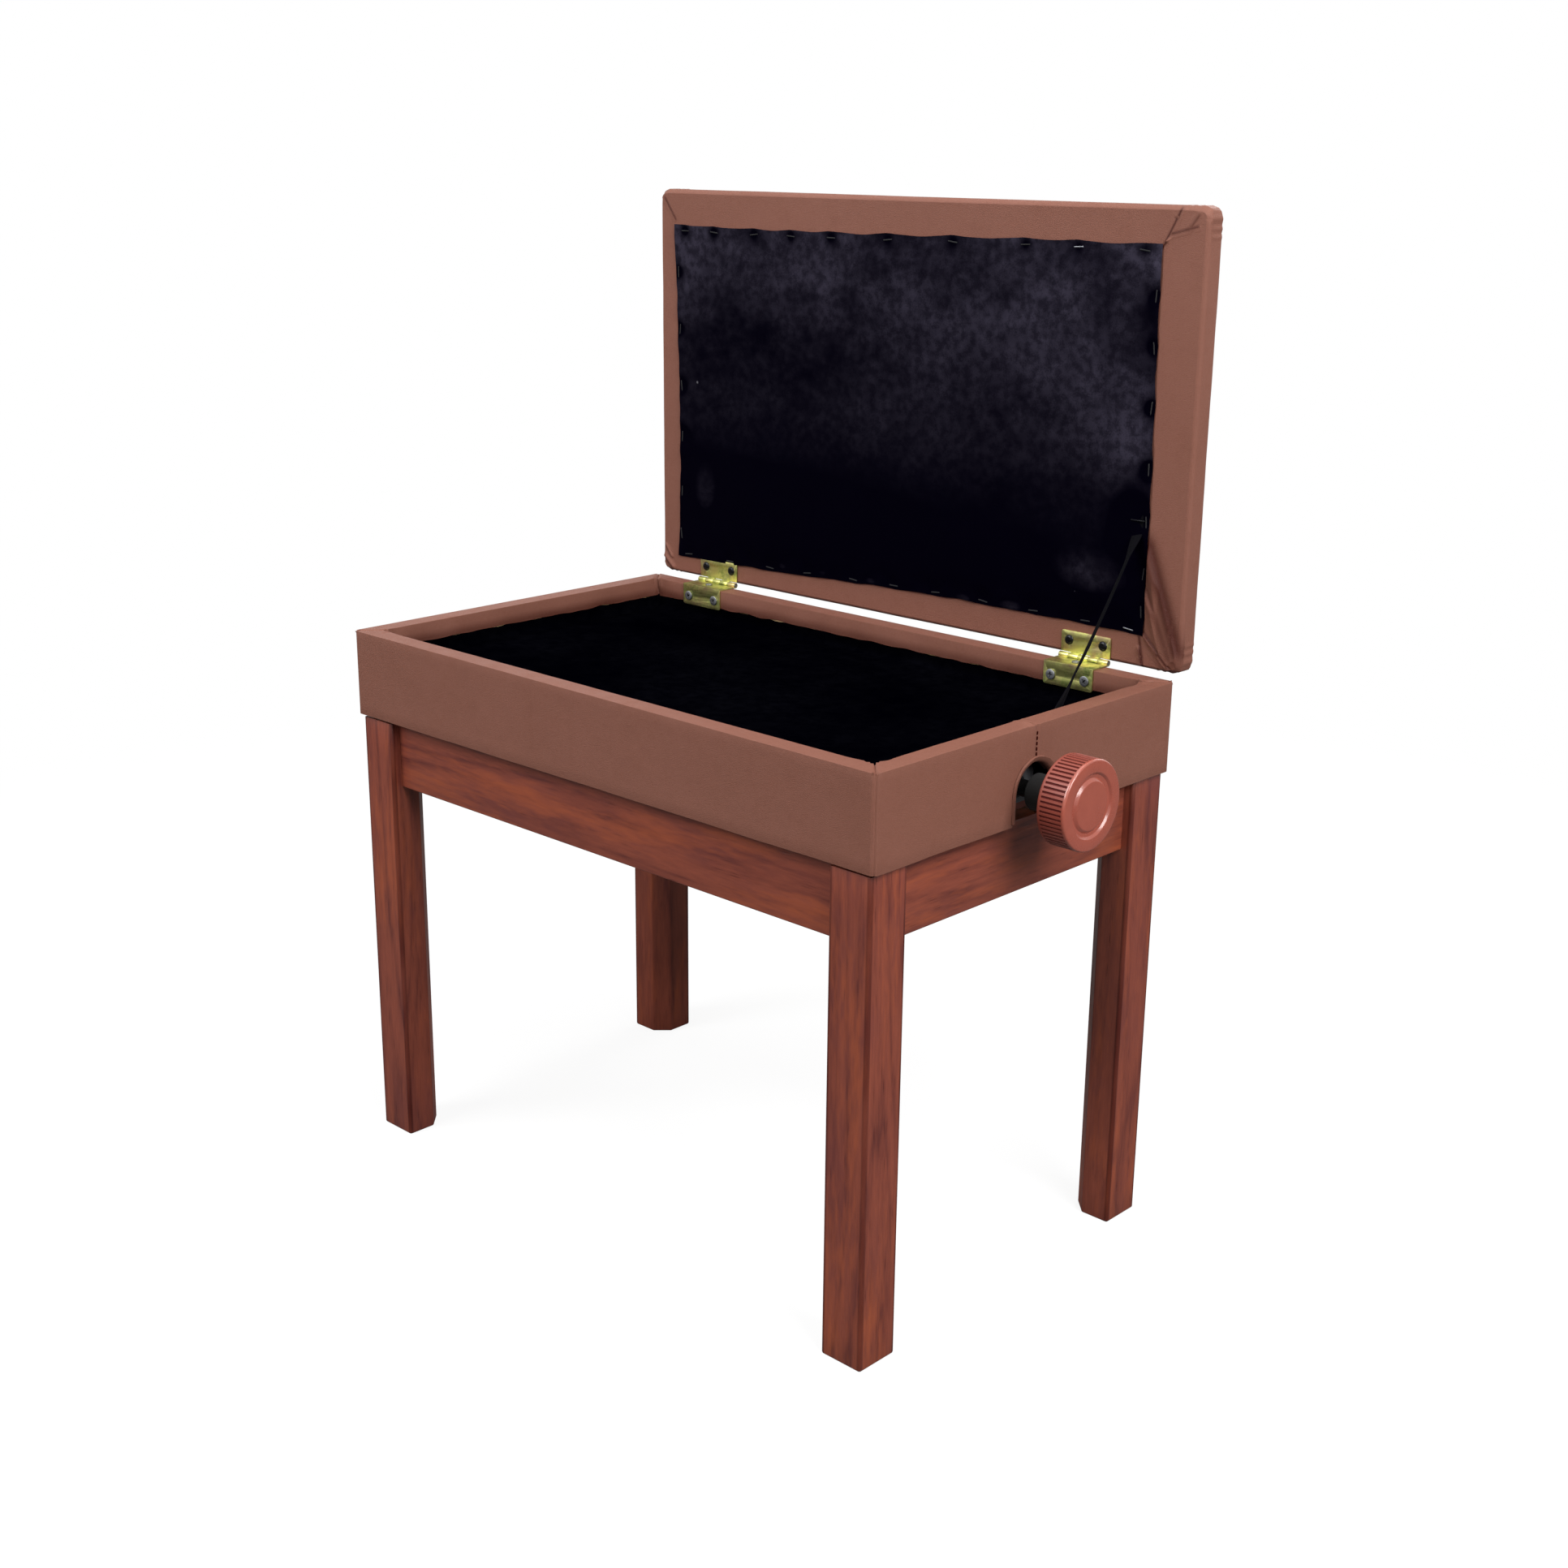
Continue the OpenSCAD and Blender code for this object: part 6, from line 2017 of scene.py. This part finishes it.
@dataclass
class Hinges:
    """The two hinges, their pins and screws.

    Attributes:
        corner: Rounding of a leaf's free corners.
        slot: Width of a screw's cross recess.
        slot_length: Length of one of its two slots.
        slot_depth: Its depth.
    """

    corner: float = 1.8 * MM
    slot: float = 0.9 * MM
    slot_length: float = 4.0 * MM
    slot_depth: float = 0.9 * MM

    def build(self) -> None:
        """Builds the hinges."""
        for side in ("left", "right"):
            for node, body in ((f"hinge_rim_leaf_{side}", "seat_box"), (f"hinge_lid_leaf_{side}", "lid")):
                self.leaf(node, body)
        refine("hinge_pins", "seat_box", "steel", STEEL, 0.2 * MM)
        self.cross_screws()
        self.dome_screws()

    def leaf(self, node: str, body: str) -> None:
        """Models a leaf: the frame's shape with its free corners rounded and its edges eased."""
        low, high = map(Vector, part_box(node))
        leaf = Blank.copy_of(f"{node}_plate", node)
        tip = high.z if body == "lid" else low.z

        def free(at: Vector) -> bool:
            """Tells the places at the plate's free corners."""
            return abs(at.z - tip) < 0.2 * MM and min(at.x - low.x, high.x - at.x) < 0.2 * MM

        leaf.ease_edges(runs(Axis.Y, free), self.corner, 5)
        leaf.soften(0.22 * MM, 2)
        leaf.smooth()
        leaf.hand_over(body, "zinc_yellow", ZINC, node)

    def cross_screws(self) -> None:
        """Models the cross-recessed screws of the rim leaves."""
        screws = Blank.copy_of("rim_screws", "hinge_rim_screws")
        screws.soften(0.25 * MM, 2, 40)
        recesses = []
        for low, high in solids_of("hinge_rim_screws"):
            middle = (low + high) / 2
            level = high.z - low.z > high.y - low.y
            head = Vector((middle.x, middle.y, high.z)) if level else Vector((middle.x, low.y, middle.z))
            into = Vector((0, 0, -1)) if level else Vector((0, 1, 0))
            turn = math.radians(20 + 400 * math.sin(middle.x * 70 + middle.z * 30))
            c, t = math.cos(turn), math.sin(turn)
            first = Vector((c, t, 0) if level else (c, 0, t))
            recesses.append((head, into))
            for way in (first, first.cross(into)):
                size = Vector((self.slot_length, self.slot, 2 * self.slot_depth))
                tool = Blank.block("recess", -size / 2, size / 2)
                tool.obj.data.transform(Matrix((way, into.cross(way), into)).transposed().to_4x4())
                tool.obj.data.transform(Matrix.Translation(head + into * 0.1 * MM))
                screws.cut(tool)

        def sunk(at: Vector) -> float:
            """Tells what lies in a recess, which gets painted shade."""
            deep = (0.3 * MM < (at - h).dot(w) < 1.5 * MM and (at - h).length < 2.6 * MM for h, w in recesses)
            return float(any(deep))

        # Marks the recesses for painted shade.
        screws.mark("edge", sunk)
        screws.smooth(35)
        screws.hand_over("seat_box", "steel", STEEL, "hinge_rim_screws")

    def dome_screws(self) -> None:
        """Models the black screws of the lid leaves, with round domes."""
        domes = []
        for k, (low, high) in enumerate(solids_of("hinge_lid_screws")):
            middle = (low + high) / 2
            radius = (high.x - low.x) / 2
            Blank.clear()
            bpy.ops.mesh.primitive_uv_sphere_add(segments=40, ring_count=24, radius=radius)
            dome = Blank.fresh(f"dome_{k}")
            dome.bisect((0, 0, 0), (0, 1, 0), "outer")
            dome.shape(lambda at: Vector((0, -at.y * 0.5, 0)))
            dome.pick(Element.FACE, lambda at, way: at.y < -radius * 0.46)
            bpy.ops.transform.translate(value=(0, 0.35 * MM, 0))
            seat = Vector((middle.x, low.y + radius * 0.5, middle.z))
            dome.shape(lambda at: seat)
            shank = Blank.rod("shank", seat, (middle.x, high.y, middle.z), 1.6 * MM, 24)
            domes.append(dome.join(shank))
        screws = domes[0].join(*domes[1:])
        screws.obj.name = screws.obj.data.name = "lid_screws"
        screws.smooth(45)
        screws.hand_over("lid", "black_screws", BLACK_SCREW, "hinge_lid_screws")


@dataclass
class StayTape:
    """The tape that keeps the open lid from falling back.

    Attributes:
        width: Width of the tape.
        thickness: Thickness of the tape.
        tab: Length of the end that lies flat on the lid.
        edge_on: Direction across the tape at which it is seen as a thin line.
        flat_on: Direction square to that and to the tape.
        twist: Angle of the tape at the knee, and what it gains above the knee and by the lid, in degrees.
        twist_ends: Shares of its free length between which it keeps its angle.
        sag: How far its middle hangs down.
    """

    width: float = 9 * MM
    thickness: float = 0.7 * MM
    tab: float = 14 * MM
    edge_on: tuple[float, float, float] = (0.652, -0.44, 0.618)
    flat_on: tuple[float, float, float] = (0.75, 0.53, -0.414)
    twist: tuple[float, float, float] = (-44, 48, 36)
    twist_ends: tuple[float, float] = (0.42, 0.86)
    sag: float = 2.2 * MM

    def build(self) -> None:
        """Builds the tape and its staples."""
        refine("stay_tack_box", "seat_box", "steel", STEEL, 0.15 * MM)
        refine("stay_tack_lid", "lid", "steel", BLACK_SCREW, 0.15 * MM)
        low, high = map(Vector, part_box("stay_tape"))
        tack = [Vector(corner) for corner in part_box("stay_tack_lid")]
        side = high.x - 0.4 * MM
        knee = Vector((side - 1.9 * MM, low.y + 4.5 * MM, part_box("rim_cover")[1][2] - 15.8 * MM))
        foot = Vector((side, knee.y, low.z))
        top = Vector(((tack[0].x + tack[1].x) / 2, high.y - 0.4 * MM, high.z))
        stops = [foot, knee, top - Vector((0, 0, self.tab)), top]
        lengths = [(b - a).length for a, b in zip(stops, stops[1:])]
        tape = Blank.grid("stay_ribbon", (-0.5, 0, 0), (0.5, 0, 1), (7, 110))

        def lay(at: Vector) -> Vector:
            """Lays the flat strip along its route: flat at both ends and twisted between them."""
            s = min(max(at.z, 0.0), 1.0) * sum(lengths)
            k = 0
            while k < 2 and s > lengths[k]:
                s -= lengths[k]
                k += 1
            t = s / lengths[k]
            centre = stops[k].lerp(stops[k + 1], t)
            across = Vector((0, 1, 0)) if k == 0 else Vector((1, 0, 0))
            fold = 0.0
            sag = Vector((0, 0, 0))
            if k == 1:
                first, last = self.twist_ends
                shares = (1.0, ease(t / first), ease((t - last) / (1 - last)))
                angle = math.radians(sum(gain * share for gain, share in zip(self.twist, shares)))
                across = Vector(self.edge_on) * math.cos(angle) + Vector(self.flat_on) * math.sin(angle)
                fold = math.sin(math.pi * t) ** 0.6
                sag = Vector((0, 0.4, -1)) * self.sag * math.sin(math.pi * t)
            along = (stops[k + 1] - stops[k]).normalized()
            bow = across.cross(along) * fold * 0.5 * MM * (math.cos(at.x * 2 * math.pi) - 0.3)
            return centre + sag + bow + across.normalized() * at.x * self.width * (1 - 0.18 * fold) - at

        tape.shape(lay)
        tape.modify("SOLIDIFY", thickness=self.thickness, offset=0.0)
        tape.smooth(60)
        ribbon = tape.hand_over("", "tape", BLACK_TAPE, "stay_tape")
        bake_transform(ribbon)


def dress_hidden() -> None:
    """Gives the board inside the lid its finish."""
    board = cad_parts["lid_board"]
    board.data.materials.clear()
    board.data.materials.append(bare_wood("plywood", Axis.X).material())


def main() -> None:
    """Builds the studio and every sub-assembly in order."""
    for assembly in (Studio(), LegFrame(), SeatBox(), Lid(), Lift(), Drive(), Hinges(), StayTape()):
        assembly.build()
        log.info("%s is built", type(assembly).__name__)
    dress_hidden()


if __name__ == "__main__":
    main()
